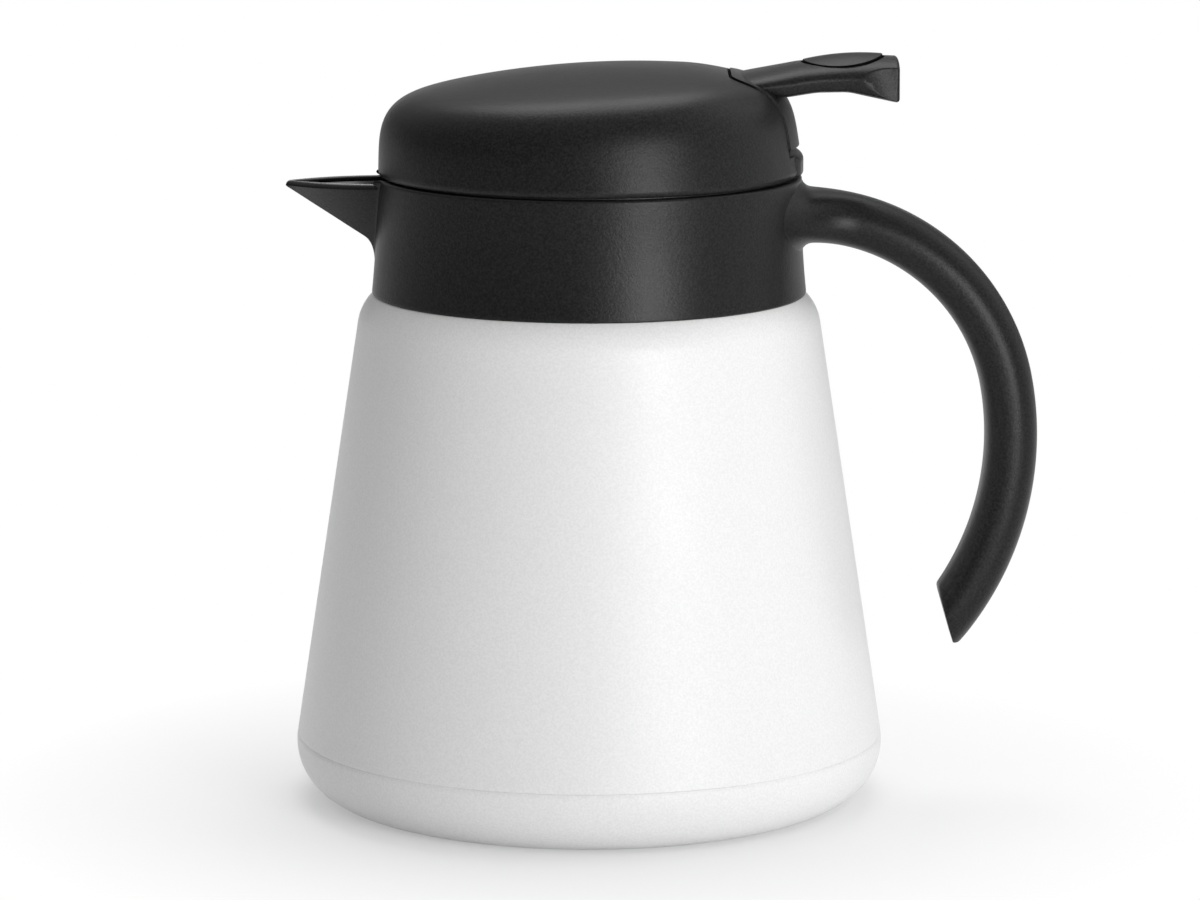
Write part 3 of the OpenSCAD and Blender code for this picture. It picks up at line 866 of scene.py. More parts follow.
@dataclass
class Collar:
    """Black collar that is one moulding with its beak spout and its open handle."""

    collar_r: float = 44.309
    low: float = 106.95
    rim: float = 131.592
    flare: float = 1.1
    flare_h: float = 20.0
    neck_r: float = 40.159
    ledge_r: float = 37.36
    chamber_r: float = 40.609
    chamber_floor: float = 121.792
    ledge_t: float = 1.6
    edge: float = 0.5
    lip: float = 1.0
    spout_rim: float = 130.492
    spout_reach: float = 18.88
    spout_half_w: float = 10.6
    spout_wall: float = 1.5
    keel_half_w: float = 0.9
    keel_rise: float = 33.0
    keel_tip_drop: float = 1.2
    trough_tip_drop: float = 0.8
    handle_t: float = 10.95
    handle_w: float = 16.0
    handle_z: float = 123.35
    handle_x: float = 44.82
    upper_r: float = 43.4
    upper_sweep: float = 79.0
    lower_r: float = 62.5
    lower_sweep: float = 45.0
    ridge_power: float = 2.2
    back_power: float = 2.8
    ridge_shift: float = -0.08
    cut_lean: float = 16.0
    tip_r: float = 1.7
    root_fillet: float = 2.5
    root_sweep: float = 12.0
    root_in: float = 1.2
    root_drop: float = 0.7
    bend_fade: float = 14.0
    cut_round: float = 0.7
    tip_narrow: float = 0.15
    tip_narrow_h: float = 4.0
    tip_share: float = 0.9
    end_search: tuple[float, float] = (-20.0, -60.0)
    fine_end: float = 0.06
    beak_search: tuple[float, float] = (15.0, 75.0)
    keel_short: float = 0.3
    trough_short: float = 1.25
    trough_root: float = 1.0
    rim_blend: float = 0.8
    keel_blend: float = 5.0
    blend_top: float = 122.0
    blend_h: float = 8.0
    foot_round: float = 0.7
    foot_edge: tuple[tuple[float, float], ...] = ((0.32, 0.08), (0.08, 0.34))
    mouth_ease: tuple[float, float] = (0.3, 0.6)
    ledge_ease: float = 0.3
    floor_round: float = 0.4
    floor_ease: float = 0.5
    rim_fall: float = 2.0
    lip_fall: float = 3.0
    gloss_from: float = 0.8
    spout_sector: float = 19.0
    spout_cols: int = 300
    plain_cols: int = 200
    sharp: float = 32.0

    def outside_r(self, z: np.ndarray) -> np.ndarray:
        """Collar's own outer radius: plain above, eased out by the square of the way down to its foot."""
        down = 1.0 - np.clip((z - self.low) / self.flare_h, 0.0, 1.0)
        return self.collar_r + self.flare * down**2

    def beak_r(
        self, angle: np.ndarray, z: np.ndarray, inset: float, keel: tuple[float, float, float]
    ) -> np.ndarray:
        """Distance from the axis to the beak's side.

        The beak's half width is an ellipse at its rim and narrows in a straight V to the keel line.
        The radius at which a ray leaves it is found by halving.

        Args:
            angle: Angle from the -X axis.
            z: Heights.
            inset: How far the rim's ellipse is drawn in.
            keel: Distance and height of the keel's tip, and the keel's slope.

        Returns:
            Radii.
        """

        def inside(r: np.ndarray) -> np.ndarray:
            """Truth where the ray at radius r is still within the beak.

            Args:
                r: Trial radii.

            Returns:
                Array of truths.
            """
            out = r * np.cos(angle)
            reach = np.clip((out - self.collar_r) / (self.spout_reach - inset), 0.0, 1.0)
            half = (self.spout_half_w - inset) * np.sqrt(1.0 - reach**2)
            keel_z = keel[1] - (keel[0] - out) * keel[2]
            share = np.clip((z - keel_z) / (self.rim - keel_z), 0.0, 1.0)
            narrow = np.minimum(self.keel_half_w, half)
            half = np.where((z > keel_z) & (out > 0.0), narrow + (half - narrow) * share, -1.0)
            return np.abs(r * np.sin(angle)) < half

        low, high = self.beak_search
        shape = np.broadcast(angle, z).shape
        return halve(inside, np.full(shape, low), np.full(shape, high))

    def outer(self, angle: np.ndarray, z: np.ndarray) -> np.ndarray:
        """Outer radius of collar and beak, with a fillet wide under the keel and tight at the rim.

        Args:
            angle: Angles from the -X axis, in radians.
            z: Heights.

        Returns:
            Radii.
        """
        tip = self.collar_r + self.spout_reach - self.keel_short
        keel = (tip, self.spout_rim - self.keel_tip_drop, math.tan(math.radians(self.keel_rise)))
        beak = self.beak_r(angle, z, 0.0, keel)
        width = self.rim_blend + self.keel_blend * smooth_step((self.blend_top - z) / self.blend_h)
        return smooth_max(beak, self.outside_r(z), width)

    def inner(self, angle: np.ndarray, z: np.ndarray) -> np.ndarray:
        """Inner radius of the pouring chamber and of the trough that runs out into the beak.

        Args:
            angle: Angles from the -X axis, in radians.
            z: Heights.

        Returns:
            Radii.
        """
        tip = self.collar_r + self.spout_reach - self.trough_short * self.spout_wall
        tip_z = self.spout_rim - self.trough_tip_drop
        root = self.chamber_r - self.trough_root
        keel = (tip, tip_z, (tip_z - self.chamber_floor) / (tip - root))
        trough = self.beak_r(angle, z, self.spout_wall, keel)
        return smooth_max(trough, np.full_like(trough, self.chamber_r), self.rim_blend)

    def ring(self) -> Patch:
        """Collar with its beak: a loop of rows carried round the axis by its outer and inner radii.

        Returns:
            Closed patch whose wetted faces are marked.
        """
        half = math.radians(self.spout_sector)
        near = np.linspace(-half, half, self.spout_cols, endpoint=False)
        round_to = np.linspace(half, 2.0 * np.pi - half, self.plain_cols, endpoint=False)
        angle = np.concatenate([near, round_to])[None, :]
        turn = np.where(angle > np.pi, angle - 2.0 * np.pi, angle)
        top_r = self.outer(turn, np.full_like(turn, self.spout_rim))
        beyond = top_r - self.collar_r
        rim = self.rim - (self.rim - self.spout_rim) * smooth_step(beyond / self.rim_fall)
        edge = self.edge + (self.lip - self.edge) * smooth_step(beyond / self.lip_fall)
        foot = self.low + self.foot_round
        z_out = foot + (rim - edge - foot) * np.linspace(0.0, 1.0, 84)[:, None]
        r_out = self.outer(turn, z_out)
        shelf = self.chamber_floor + self.floor_round
        z_in = rim - edge - (rim - edge - shelf) * np.linspace(0.0, 1.0, 30)[:, None]
        r_in = self.inner(turn, z_in)
        quarter = np.radians(np.linspace(15.0, 90.0, 6))[:, None]
        over_r = r_out[-1:] - edge + edge * np.cos(quarter)
        over_z = rim - edge + edge * np.sin(quarter)
        back_r = r_in[:1] + edge - edge * np.cos(quarter[::-1])
        back_z = rim - edge + edge * np.sin(quarter[::-1])
        floor = self.chamber_floor
        foot_r = self.collar_r + self.flare
        rest = np.array(
            [
                [self.chamber_r - self.floor_ease, floor],
                [self.ledge_r + self.ledge_ease, floor],
                [self.ledge_r, floor - self.ledge_ease],
                [self.ledge_r, floor - self.ledge_t],
                [self.neck_r, floor - self.ledge_t],
                [self.neck_r, self.low + self.mouth_ease[1]],
                [self.neck_r + self.mouth_ease[0], self.low],
                [foot_r - self.foot_round, self.low],
                *([foot_r - back, self.low + up] for back, up in self.foot_edge),
            ]
        )
        flat = np.ones_like(turn)
        r = np.concatenate([r_out, over_r, back_r, r_in, rest[:, 0:1] * flat])
        z = np.concatenate([z_out, over_z, back_z, z_in, rest[:, 1:2] * flat])
        wet = np.zeros(r.shape, bool)
        wet[len(z_out) + len(over_z) : len(r) - len(rest)] = True
        wet[len(z_out) - 1 : len(z_out) + len(over_z)] = beyond > self.gloss_from
        return Patch(around_axis(-r, turn, z), True, True, wet)

    def arcs(self) -> tuple[np.ndarray, np.ndarray, float]:
        """Centres of the grip's two arcs, which share a tangent, and the angle in degrees where they meet.

        Returns:
            Upper centre, lower centre and angle.
        """
        upper = np.array([self.handle_x, self.handle_z - self.upper_r])
        turn = 90.0 - self.upper_sweep
        return upper, upper + (self.upper_r - self.lower_r) * heading(math.radians(turn)), turn

    def cut_line(self, angle: np.ndarray) -> np.ndarray:
        """Least distance outside the middle line at which the slanted end cut leaves material.

        Args:
            angle: Angles along the lower arc, in radians.

        Returns:
            Distances along the outward direction.
        """
        _, centre, turn = self.arcs()
        end_at = math.radians(turn - self.lower_sweep)
        end = centre + (self.lower_r - self.handle_t / 2.0) * heading(end_at)
        face = heading(math.radians(self.cut_lean))
        toward = heading(angle)
        return -((centre + self.lower_r * toward - end) @ face) / (toward @ face)

    def handle_path(self) -> tuple[np.ndarray, np.ndarray]:
        """Middle line of the grip, a short straight root and two arcs, and each station's outward angle.

        Returns:
            Points (x, z), and angles in radians.
        """
        upper_c, lower_c, turn = self.arcs()
        most = self.handle_t / 2.0 - self.tip_share * self.tip_r
        kept, gone = np.radians(self.end_search)
        last = halve(lambda a: self.cut_line(a) < most, kept, gone)
        finer = last + self.fine_end
        root = line((self.chamber_r + self.root_in, self.handle_z), (self.handle_x, self.handle_z), 6)[:-1]
        upper_a = np.radians(np.linspace(90.0, turn, 90))
        long_part = np.linspace(math.radians(turn), finer, 90)[1:]
        lower_a = np.concatenate([long_part, np.linspace(finer, last, 40)[1:]])
        upper = upper_c + self.upper_r * heading(upper_a)
        lower = lower_c + self.lower_r * heading(lower_a)
        angles = np.concatenate([np.full(len(root), math.pi / 2.0), upper_a, lower_a])
        return np.concatenate([root, upper, lower]), angles

    def handle(self) -> Patch:
        """Grip: a section with a soft ridge each side, carried along the path.

        The section is a curve on which the height share to one power and the width share to another add up
        to one. At the root it widens in a large sweep and bends with the collar's wall, and small fillets run
        above and below it. At the end it is cut aslant and its tip is rounded.

        Returns:
            Closed patch.
        """
        middle, out_angle = self.handle_path()
        around = full_turn(128)
        c = signed_power(np.cos(around), 2.0 / self.ridge_power)
        s = signed_power(np.sin(around), 2.0 / self.back_power)
        across = (c + self.ridge_shift * (1.0 - c**2)) * self.handle_t / 2.0
        toward = heading(out_angle)
        gap = middle[:, 0:1] + toward[:, 0:1] * across - self.collar_r
        wide = s * (self.handle_w / 2.0 + rounding(gap, self.root_sweep))
        bent = 1.0 - smooth_step(gap / self.bend_fade)
        bend = (self.collar_r - np.sqrt(self.collar_r**2 - wide**2)) * bent
        across = across + rounding(gap, self.root_fillet) * c
        ceiling = self.rim - self.root_drop - self.handle_z
        across = np.where(gap < self.root_fillet, np.minimum(across, ceiling), across)
        low = np.where(out_angle < 0.0, self.cut_line(out_angle), -2.0 * self.handle_t)[:, None]
        left = self.lower_r * (out_angle - out_angle[-1])[:, None]
        high = np.maximum(self.handle_t / 2.0 - rounding(left, self.tip_r), low)
        across = np.where(out_angle[:, None] < 0.0, np.minimum(across, high), across)
        cut = np.minimum(smooth_max(across, low, self.cut_round), np.maximum(high, across))
        across = np.where(left < TINY, low, cut)
        wide = wide * (1.0 - self.tip_narrow * np.clip(1.0 - left / self.tip_narrow_h, 0.0, 1.0) ** 2)
        x = middle[:, 0:1] + toward[:, 0:1] * across - bend
        z = middle[:, 1:2] + toward[:, 1:2] * across
        points = np.stack([x, wide, z], axis=-1)
        return Patch(np.concatenate([drawn_in(points[:1]), points]), False, True)

    def build(self) -> None:
        """Makes the collar as one piece of two closed forms."""
        forms = [self.ring(), self.handle()]
        make_piece("collar_moulding", forms, Body.JUG, BLACK_PLASTIC, ("collar",), self.sharp, BLACK_GLOSS)


@dataclass
class Dome:
    """Lid cover: a smooth cap that tilts up towards the handle, with the lever's slot, stop and bosses."""

    dome_r: float = 44.009
    low: float = 131.992
    apex: float = 154.192
    crown_r: float = 200.0
    round_r: float = 7.0
    ease: float = 3.5
    draft: float = 4.3
    tilt: float = 3.35
    wall: float = 1.8
    edge: float = 0.5
    droop: float = 0.9
    droop_x: tuple[float, float] = (20.0, 36.0)
    droop_rise: float = 14.0
    slot_low: float = 136.592
    slot_nose: float = 28.809
    slot_half: float = 14.2
    slot_round: float = 6.4
    stop_out: float = 0.6
    screw_at: float = 29.0
    boss_r: float = 3.5
    plate_top: float = 133.792
    columns: int = 360
    section_step: float = 0.05
    overrun: float = 6.0
    bell_reach: float = 4.0
    edge_slope: float = 0.75
    edge_blend: float = 0.5
    edge_zone: float = 6.0
    slot_far: float = 90.0
    slot_top: float = 190.0
    stop_gap: float = 0.4
    stop_swell: float = 6.0
    stop_over: float = 0.1
    stop_under: float = 0.15
    stop_rounds: tuple[float, float] = (1.5, 0.7)
    stop_root: float = 1.0
    boss_top: float = 148.5
    screw_turns: tuple[float, ...] = (60.0, 180.0, 300.0)
    sharp: float = 30.0

    def half_section(self) -> np.ndarray:
        """Outer half section from the crown's middle down.

        The tangent turns slowly along the crown, fast round the shoulder and not at all down the wall. That
        turning is smoothed along the line by a bell curve, so the curvature has no jumps, and then summed up.

        Returns:
            Points (r, z), which reach a little below the lower edge.
        """
        step = self.section_step
        lean = math.radians(self.draft)
        crown_z = self.apex - self.crown_r
        wall = self.dome_r + self.low * math.tan(lean) - self.round_r / math.cos(lean)
        b = crown_z + wall * math.tan(lean)
        c = wall**2 + crown_z**2 - (self.crown_r - self.round_r) ** 2
        centre_z = (b + math.sqrt(b * b - c / math.cos(lean) ** 2)) * math.cos(lean) ** 2
        centre_x = wall - centre_z * math.tan(lean)
        first = math.asin(centre_x / (self.crown_r - self.round_r))
        crown = self.crown_r * first
        turn = self.round_r * (math.pi / 2.0 - lean - first)
        drop = (centre_z + self.round_r * math.sin(lean) - self.low + self.overrun) / math.cos(lean)
        along = np.arange(0.0, crown + turn + drop, step)
        stops = [0.0, crown, crown + turn, crown + turn + drop]
        tangent = np.interp(along, stops, [0.0, first, math.pi / 2.0 - lean, math.pi / 2.0 - lean])
        reach = int(self.bell_reach * self.ease / step)
        bell = np.exp(-0.5 * (np.arange(-reach, reach + 1) * step / self.ease) ** 2)
        spread = np.concatenate([-tangent[reach:0:-1], tangent, np.full(reach, tangent[-1])])
        tangent = np.convolve(spread, bell / bell.sum(), mode="valid")
        middle = (tangent[1:] + tangent[:-1]) / 2.0
        r = np.concatenate([[0.0], np.cumsum(np.cos(middle)) * step])
        z = self.apex - np.concatenate([[0.0], np.cumsum(np.sin(middle)) * step])
        r = r * self.dome_r / np.interp(self.low, z[::-1], r[::-1])
        return np.stack([r, z], axis=-1)

    def sunk(self, x: np.ndarray, level: np.ndarray) -> np.ndarray:
        """How far the shoulder sinks round the lever: grows along x and fades out towards the lower edge."""
        start, full = self.droop_x
        return self.droop * smooth_step((x - start) / (full - start)) * smooth_step(level / self.droop_rise)

    def tilted(self, r: np.ndarray, angle: np.ndarray, z: np.ndarray) -> np.ndarray:
        """Turns the point at r, angle and z up towards +X about the lower edge's middle.

        Args:
            r: Radii before the tilt.
            angle: Angles from the +X axis, in radians.
            z: Heights before it.

        Returns:
            Points after the tilt.
        """
        lean = math.radians(self.tilt)
        x = r * np.cos(angle)
        rise = z - self.low
        out_x = x * math.cos(lean) - rise * math.sin(lean)
        level = x * math.sin(lean) + rise * math.cos(lean)
        out_z = self.low + level - self.sunk(out_x, level)
        return np.stack(np.broadcast_arrays(out_x, r * np.sin(angle), out_z), axis=-1)

    def sheet(self, inset: float, rows: int) -> np.ndarray:
        """One face of the cap: the half section moved in by inset, revolved, tilted and ended level.

        Args:
            inset: Distance inside the outer face.
            rows: Number of rows from the crown's middle to the lower edge.

        Returns:
            Grid of points.
        """
        section = self.half_section()
        slope = np.gradient(section, axis=0)
        normal = np.stack([slope[:, 1], -slope[:, 0]], axis=-1)
        normal /= np.linalg.norm(normal, axis=-1, keepdims=True)
        section = section + inset * normal
        section[0, 0] = 0.0
        angle = full_turn(self.columns)
        length = np.concatenate([[0.0], np.cumsum(np.linalg.norm(np.diff(section, axis=0), axis=-1))])

        def at(s: np.ndarray) -> np.ndarray:
            """Tilted points at distances s along the section."""
            r = np.interp(s, length, section[:, 0])
            return self.tilted(r, angle, np.interp(s, length, section[:, 1]))

        middle = np.full(angle.shape, 0.5 * length[-1])
        end = np.full(angle.shape, length[-1])
        stop = halve(lambda s: at(s)[..., 2] > self.low, middle, end)
        return at(stop * np.linspace(0.0, 1.0, rows)[:, None])

    def cap(self, lift: float) -> Patch:
        """Closed cap: the inner face down from its pole, the eased lower edge and the outer face back up.

        Args:
            lift: How far the outer face stands out from the dome's own.

        Returns:
            Closed patch.
        """
        outer = self.sheet(-lift, 150)[::-1]
        inner = self.sheet(self.wall, 60)
        reach = np.hypot(outer[..., 0], outer[..., 1])
        most = self.dome_r - self.edge + self.edge_slope * (outer[..., 2] - self.low)
        eased = -smooth_max(-reach, -most, self.edge_blend)
        near_edge = outer[..., 2] < self.low + self.edge_zone
        scale = (np.where(near_edge, eased, reach) / np.maximum(reach, TINY))[..., None]
        outer = np.concatenate([outer[..., :2] * scale, outer[..., 2:]], axis=-1)
        return Patch(np.concatenate([inner, outer]), False, True)

    def slot(self, gap: float, low: float) -> Patch:
        """Prism over the slot: a round-nosed plan outline, open towards +X, raised from a height.

        Args:
            gap: How far the outline is drawn in.
            low: Height of the prism's underside.

        Returns:
            Closed patch.
        """
        turn = self.slot_round - gap
        half = self.slot_half - gap
        nose_x = self.slot_nose + self.slot_round
        upper = arc((nose_x, half - turn), turn, 90.0, 180.0, 24)
        lower = arc((nose_x, turn - half), turn, 180.0, 270.0, 24)
        mouth = np.array([[self.slot_far, -half], [self.slot_far, half]])
        outline = np.concatenate([upper, lower, mouth])
        z = np.array([[low], [self.slot_top]])
        return capped(np.stack(np.broadcast_arrays(outline[:, 0], outline[:, 1], z), axis=-1))

    def stop_block(self) -> Patch:
        """Stop block: a bar bent round the wall that swells out towards its middle, with eased edges.

        Returns:
            Closed patch.
        """
        half = math.asin((self.slot_half - self.stop_gap) / self.dome_r)
        angle = np.linspace(-half, half, 90)[:, None]
        swell = smooth_step((half - np.abs(angle)) * self.dome_r / self.stop_swell)
        outer = self.dome_r + self.stop_out
        inner = self.dome_r - self.wall
        top = self.slot_low + self.stop_over
        low = self.low + self.stop_under
        above, below = self.stop_rounds
        round_top = arc((outer - above, top - above), above, 90.0, 0.0, 12)
        round_low = arc((outer - below, low + below), below, 0.0, -90.0, 8)
        loop = np.concatenate([[[inner, top]], round_top, round_low, [[inner, low]]])
        root = self.dome_r - self.stop_root
        r = np.where(loop[:, 0] > root, root + (loop[:, 0] - root) * swell, loop[:, 0])
        return capped(around_axis(r, angle, loop[:, 1]))

    def boss(self, turn: float) -> Patch:
        """Screw boss: a post from the stopper's plate up to the cap, closed at both ends.

        Args:
            turn: Degrees round the axis from +X.

        Returns:
            Closed patch.
        """
        low = self.plate_top
        high = self.boss_top
        profile = np.array([[0.0, low], [self.boss_r, low], [self.boss_r, high], [0.0, high]])
        shift = np.append(self.screw_at * heading(math.radians(turn)), 0.0)
        return Patch(revolve(profile, 48) + shift, False, True)

    def build(self) -> None:
        """Makes the cap, cuts its slot and adds the stop block and the bosses."""
        cap = make_piece("lid_cap", [self.cap(0.0)], Body.LID, BLACK_PLASTIC, ("lid_dome",), self.sharp)
        carve(cap, self.slot(0.0, self.slot_low), "DIFFERENCE", self.sharp)
        make_piece("lid_stop", [self.stop_block()], Body.LID, BLACK_PLASTIC)
        make_piece("lid_bosses", [self.boss(turn) for turn in self.screw_turns], Body.LID, BLACK_PLASTIC)


@dataclass
class Lever:
    """Thumb lever: a soft bar with a hollowed tip, a skin and tail in the dome's slot and a fork inside."""

    nose_x: float = 29.209
    tip_x: float = 64.109
    root_half: float = 12.4
    pad_half: float = 10.5
    taper_x: tuple[float, float] = (32.0, 56.0)
    tip_half: float = 8.5
    nose_round: float = 6.0
    hollow_r: float = 20.0
    hollow_x: float = 63.6
    hollow_lean: float = 3.6
    crown_power: float = 2.4
    belly_power: float = 7.0
    belly_draft: float = 0.1
    skin_lift: float = 0.35
    skin_gap: float = 0.62
    top_line: tuple[tuple[float, float], ...] = (
        (29.209, 152.45), (36.0, 153.75), (43.5, 155.2), (60.6, 156.42), (64.109, 156.3)
    )
    low_line: tuple[tuple[float, float], ...] = (
        (29.209, 148.6), (41.0, 148.6), (47.0, 149.5), (53.5, 149.55),
        (58.0, 148.55), (63.3, 147.4), (64.109, 147.3),
    )
    pad_x: float = 52.7
    pad_r: float = 8.3
    pad_groove: float = 0.4
    pad_seat: float = 154.9
    pad_tilt: float = 4.3
    pad_top: float = 2.05
    pad_bend: tuple[float, float] = (53.0, 19.0)
    tail_low: float = 138.3
    tip_ease: float = 0.7
    nose_ease: float = 0.7
    nose_drop: float = 0.35
    line_ease: float = 1.2
    line_overrun: float = 9.0
    widest_share: float = 0.42
    hollow_blend: float = 0.15
    recess_h: float = 9.0
    pad_edge: float = 0.2
    pad_foot: float = 0.1
    tongue_x: tuple[float, ...] = (7.9, 31.2, 38.1)
    tongue_low: tuple[float, ...] = (138.0, 139.8, 142.9)
    tongue_high: tuple[float, ...] = (140.9, 150.0, 150.0)
    prong_x: tuple[float, ...] = (-2.0, 0.0, 8.0)
    prong_low: tuple[float, ...] = (138.6, 137.5, 138.0)
    prong_high: tuple[float, ...] = (140.4, 140.9, 140.9)
    prong_y: tuple[float, float] = (3.0, 5.5)
    sharp: float = 34.0
    skin_sharp: float = 30.0

    def plan_half(self, x: np.ndarray) -> np.ndarray:
        """Half width along the lever: a rounded nose, then sides that ease from the root's to the pad's.

        Args:
            x: Places along the lever.

        Returns:
            Half widths.
        """
        nose = self.root_half - rounding(x - self.nose_x, self.nose_round)
        start, full = self.taper_x
        sides = self.root_half + (self.pad_half - self.root_half) * smooth_step((x - start) / (full - start))
        return np.minimum(sides, nose)

    def hollow(self, x: np.ndarray, share: np.ndarray) -> np.ndarray:
        """Half width that the hollow beside the tip leaves: an arc in plan, further out lower down.

        Args:
            x: Places along the lever.
            share: Height in the section, 0 at its underside and 1 at its top.

        Returns:
            Half widths.
        """
        away = np.clip(x - self.hollow_lean * (1.0 - share) - self.hollow_x, -self.hollow_r, self.hollow_r)
        return self.tip_half + self.hollow_r - np.sqrt(self.hollow_r**2 - away**2)

    def bar(self) -> Patch:
        """Arm: closed sections along x, soft above their widest line and nearly square below it.

        Returns:
            Closed patch.
        """
        ease = self.tip_ease
        plain = np.linspace(self.nose_x, self.tip_x - ease, 200)
        turn = np.radians(np.linspace(0.0, 90.0, 9))[1:]
        x = np.concatenate([plain, self.tip_x - ease + ease * np.sin(turn)])
        shrink = np.concatenate([np.zeros(len(plain)), ease * (1.0 - np.cos(turn))])
        shrink = shrink + self.nose_drop * np.clip(1.0 - (x - self.nose_x) / self.nose_ease, 0.0, 1.0) ** 2
        top = self.softened(x, self.top_line) - shrink
        low = self.softened(x, self.low_line) + shrink
        around = full_turn(192)
        power = 2.0 / np.where(np.sin(around) > 0.0, self.crown_power, self.belly_power)
        across = signed_power(np.cos(around), power)
        upright = signed_power(np.sin(around), power)
        widest = (low + self.widest_share * (top - low))[:, None]
        z = widest + np.where(upright > 0.0, top[:, None] - widest, widest - low[:, None]) * upright
        share = (z - low[:, None]) / (top - low)[:, None]
        below = np.clip((widest - z) / (widest - low[:, None]), 0.0, 1.0)
        half = (self.plan_half(x) - shrink)[:, None] * (1.0 - self.belly_draft * below)
        scooped = self.hollow(x[:, None], share) - shrink[:, None]
        y = np.sign(across) * -smooth_max(-np.abs(half * across), -scooped, self.hollow_blend)
        return capped(np.stack(np.broadcast_arrays(x[:, None], y, z), axis=-1))

    def softened(self, x: np.ndarray, knots: tuple[tuple[float, float], ...]) -> np.ndarray:
        """Straight stretches between knots, averaged over a short way each side to ease their corners.

        Args:
            x: Places along the lever.
            knots: Points (x, z) of the line.

        Returns:
            Heights.
        """
        knots_x, knots_z = np.array(knots).T
        shifts = np.linspace(-self.line_ease, self.line_ease, 25)[:, None]
        slope_in = (knots_z[1] - knots_z[0]) / (knots_x[1] - knots_x[0])
        slope_out = (knots_z[-1] - knots_z[-2]) / (knots_x[-1] - knots_x[-2])
        more = self.line_overrun
        xs = np.concatenate([[knots_x[0] - more], knots_x, [knots_x[-1] + more]])
        zs = np.concatenate([[knots_z[0] - more * slope_in], knots_z, [knots_z[-1] + more * slope_out]])
        return np.interp(x[None, :] + shifts, xs, zs).mean(axis=0)

    def recess(self) -> Patch:
        """Cutter for the pad's recess: a disc about the pad's leaning axis.

        Returns:
            Closed patch.
        """
        r = self.pad_r + self.pad_groove
        high = self.recess_h
        return self.leaned(revolve(np.array([[0.0, 0.0], [r, 0.0], [r, high], [0.0, high]]), 144))

    def leaned(self, points: np.ndarray) -> Patch:
        """Leans points about the pad's own axis and sets them on the pad's seat.

        Args:
            points: Points about an upright axis.

        Returns:
            Patch of the leaned points.
        """
        lean = math.radians(self.pad_tilt)
        x = points[..., 0] * math.cos(lean) - points[..., 2] * math.sin(lean)
        z = points[..., 0] * math.sin(lean) + points[..., 2] * math.cos(lean)
        return Patch(np.stack([x + self.pad_x, points[..., 1], z + self.pad_seat], axis=-1), False, True)

    def pad(self) -> Patch:
        """Pad: a disc whose top falls by the square of the distance, faster across than along.

        Returns:
            Closed patch whose edge is marked to wear the painted groove shade.
        """
        edge = self.pad_edge
        angle = full_turn(144)
        fall = np.cos(angle) ** 2 / (2.0 * self.pad_bend[0]) + np.sin(angle) ** 2 / (2.0 * self.pad_bend[1])
        rho = np.linspace(0.0, self.pad_r - edge, 40)[:, None]
        cap = self.pad_top - rho**2 * fall
        turn = np.radians(np.linspace(75.0, 0.0, 6))[:, None]
        side_r = self.pad_r - edge + edge * np.cos(turn)
        side = cap[-1] - edge + edge * np.sin(turn)
        foot_r = np.array([[self.pad_r], [self.pad_r - self.pad_foot], [0.0]])
        foot = np.array([[self.pad_foot], [0.0], [0.0]]) * np.ones_like(angle)
        r = np.concatenate([rho, side_r, foot_r])
        z = np.concatenate([cap, side, foot])
        patch = self.leaned(around_axis(r, angle, z))
        # The edge wall and foot are marked for the near-black painted shade of the groove.
        patch.marked = np.zeros(z.shape, bool)
        patch.marked[len(rho) + 1 :] = True
        return patch

    def fork(self) -> list[Patch]:
        """Hidden tongue inside the dome and the two prongs that lift the stem's cap.

        Returns:
            Closed patches.
        """
        near, far = self.prong_y
        tongue = [np.array(part) for part in (self.tongue_x, self.tongue_low, self.tongue_high)]
        prong = [np.array(part) for part in (self.prong_x, self.prong_low, self.prong_high)]
        return [box_tube(*tongue, -far, far), box_tube(*prong, near, far), box_tube(*prong, -far, -near)]

    def build(self, dome: Dome) -> None:
        """Makes the arm with the pad's recess, the skin and tail in the dome's slot, the fork and the pad.

        Args:
            dome: Lid cover whose face and slot the skin follows.
        """
        bar = make_piece("lever_bar", [self.bar()], Body.LEVER, BLACK_PLASTIC, ("lever",), self.sharp)
        carve(bar, self.recess(), "DIFFERENCE", self.sharp)
        skin = make_piece("lever_skin", [dome.cap(self.skin_lift)], Body.LEVER, BLACK_PLASTIC)
        carve(skin, dome.slot(self.skin_gap, self.tail_low), "INTERSECT", self.skin_sharp)
        make_piece("lever_fork", self.fork(), Body.LEVER, BLACK_PLASTIC)
        # The pad's marked edge wears painted shade, standing for the shade in the groove.
        make_piece("thumb_inlay", [self.pad()], Body.LEVER, PAD_PLASTIC, ("thumb_pad",), second=PAINTED_GROOVE_SHADE)


@dataclass
class ValveSpring:
    """Spring that shuts the valve: round wire on a helix, squeezed as the valve rises."""

    coil_r: float = 6.6
    wire_r: float = 0.6
    turns: int = 5
    turn_steps: int = 48
    travel: float = 5.5

    def wire(self, low: float, high: float) -> Patch:
        """Wire: a circle carried round the stem's axis at a constant radius while it climbs at a steady rate.

        Args:
            low: Height of the spring's lower end.
            high: Height of its upper end.

        Returns:
            Closed patch.
        """
        share = np.linspace(0.0, 1.0, self.turn_steps * self.turns + 1)[:, None]
        turn = 2.0 * np.pi * self.turns * share
        around = full_turn(16)
        r = self.coil_r + self.wire_r * np.cos(around)
        climb = high - low - 2.0 * self.wire_r
        z = low + self.wire_r + climb * share + self.wire_r * np.sin(around)
        return capped(around_axis(r, turn, z))

    def build(self) -> None:
        """Makes the spring between its packed ends and gives it a mesh of its own."""
        low, high = (corner[2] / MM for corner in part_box("valve_spring"))
        piece = make_piece("valve_coil", [self.wire(low, high)], Body.LID, BARE_STEEL, ("valve_spring",))
        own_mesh(piece)


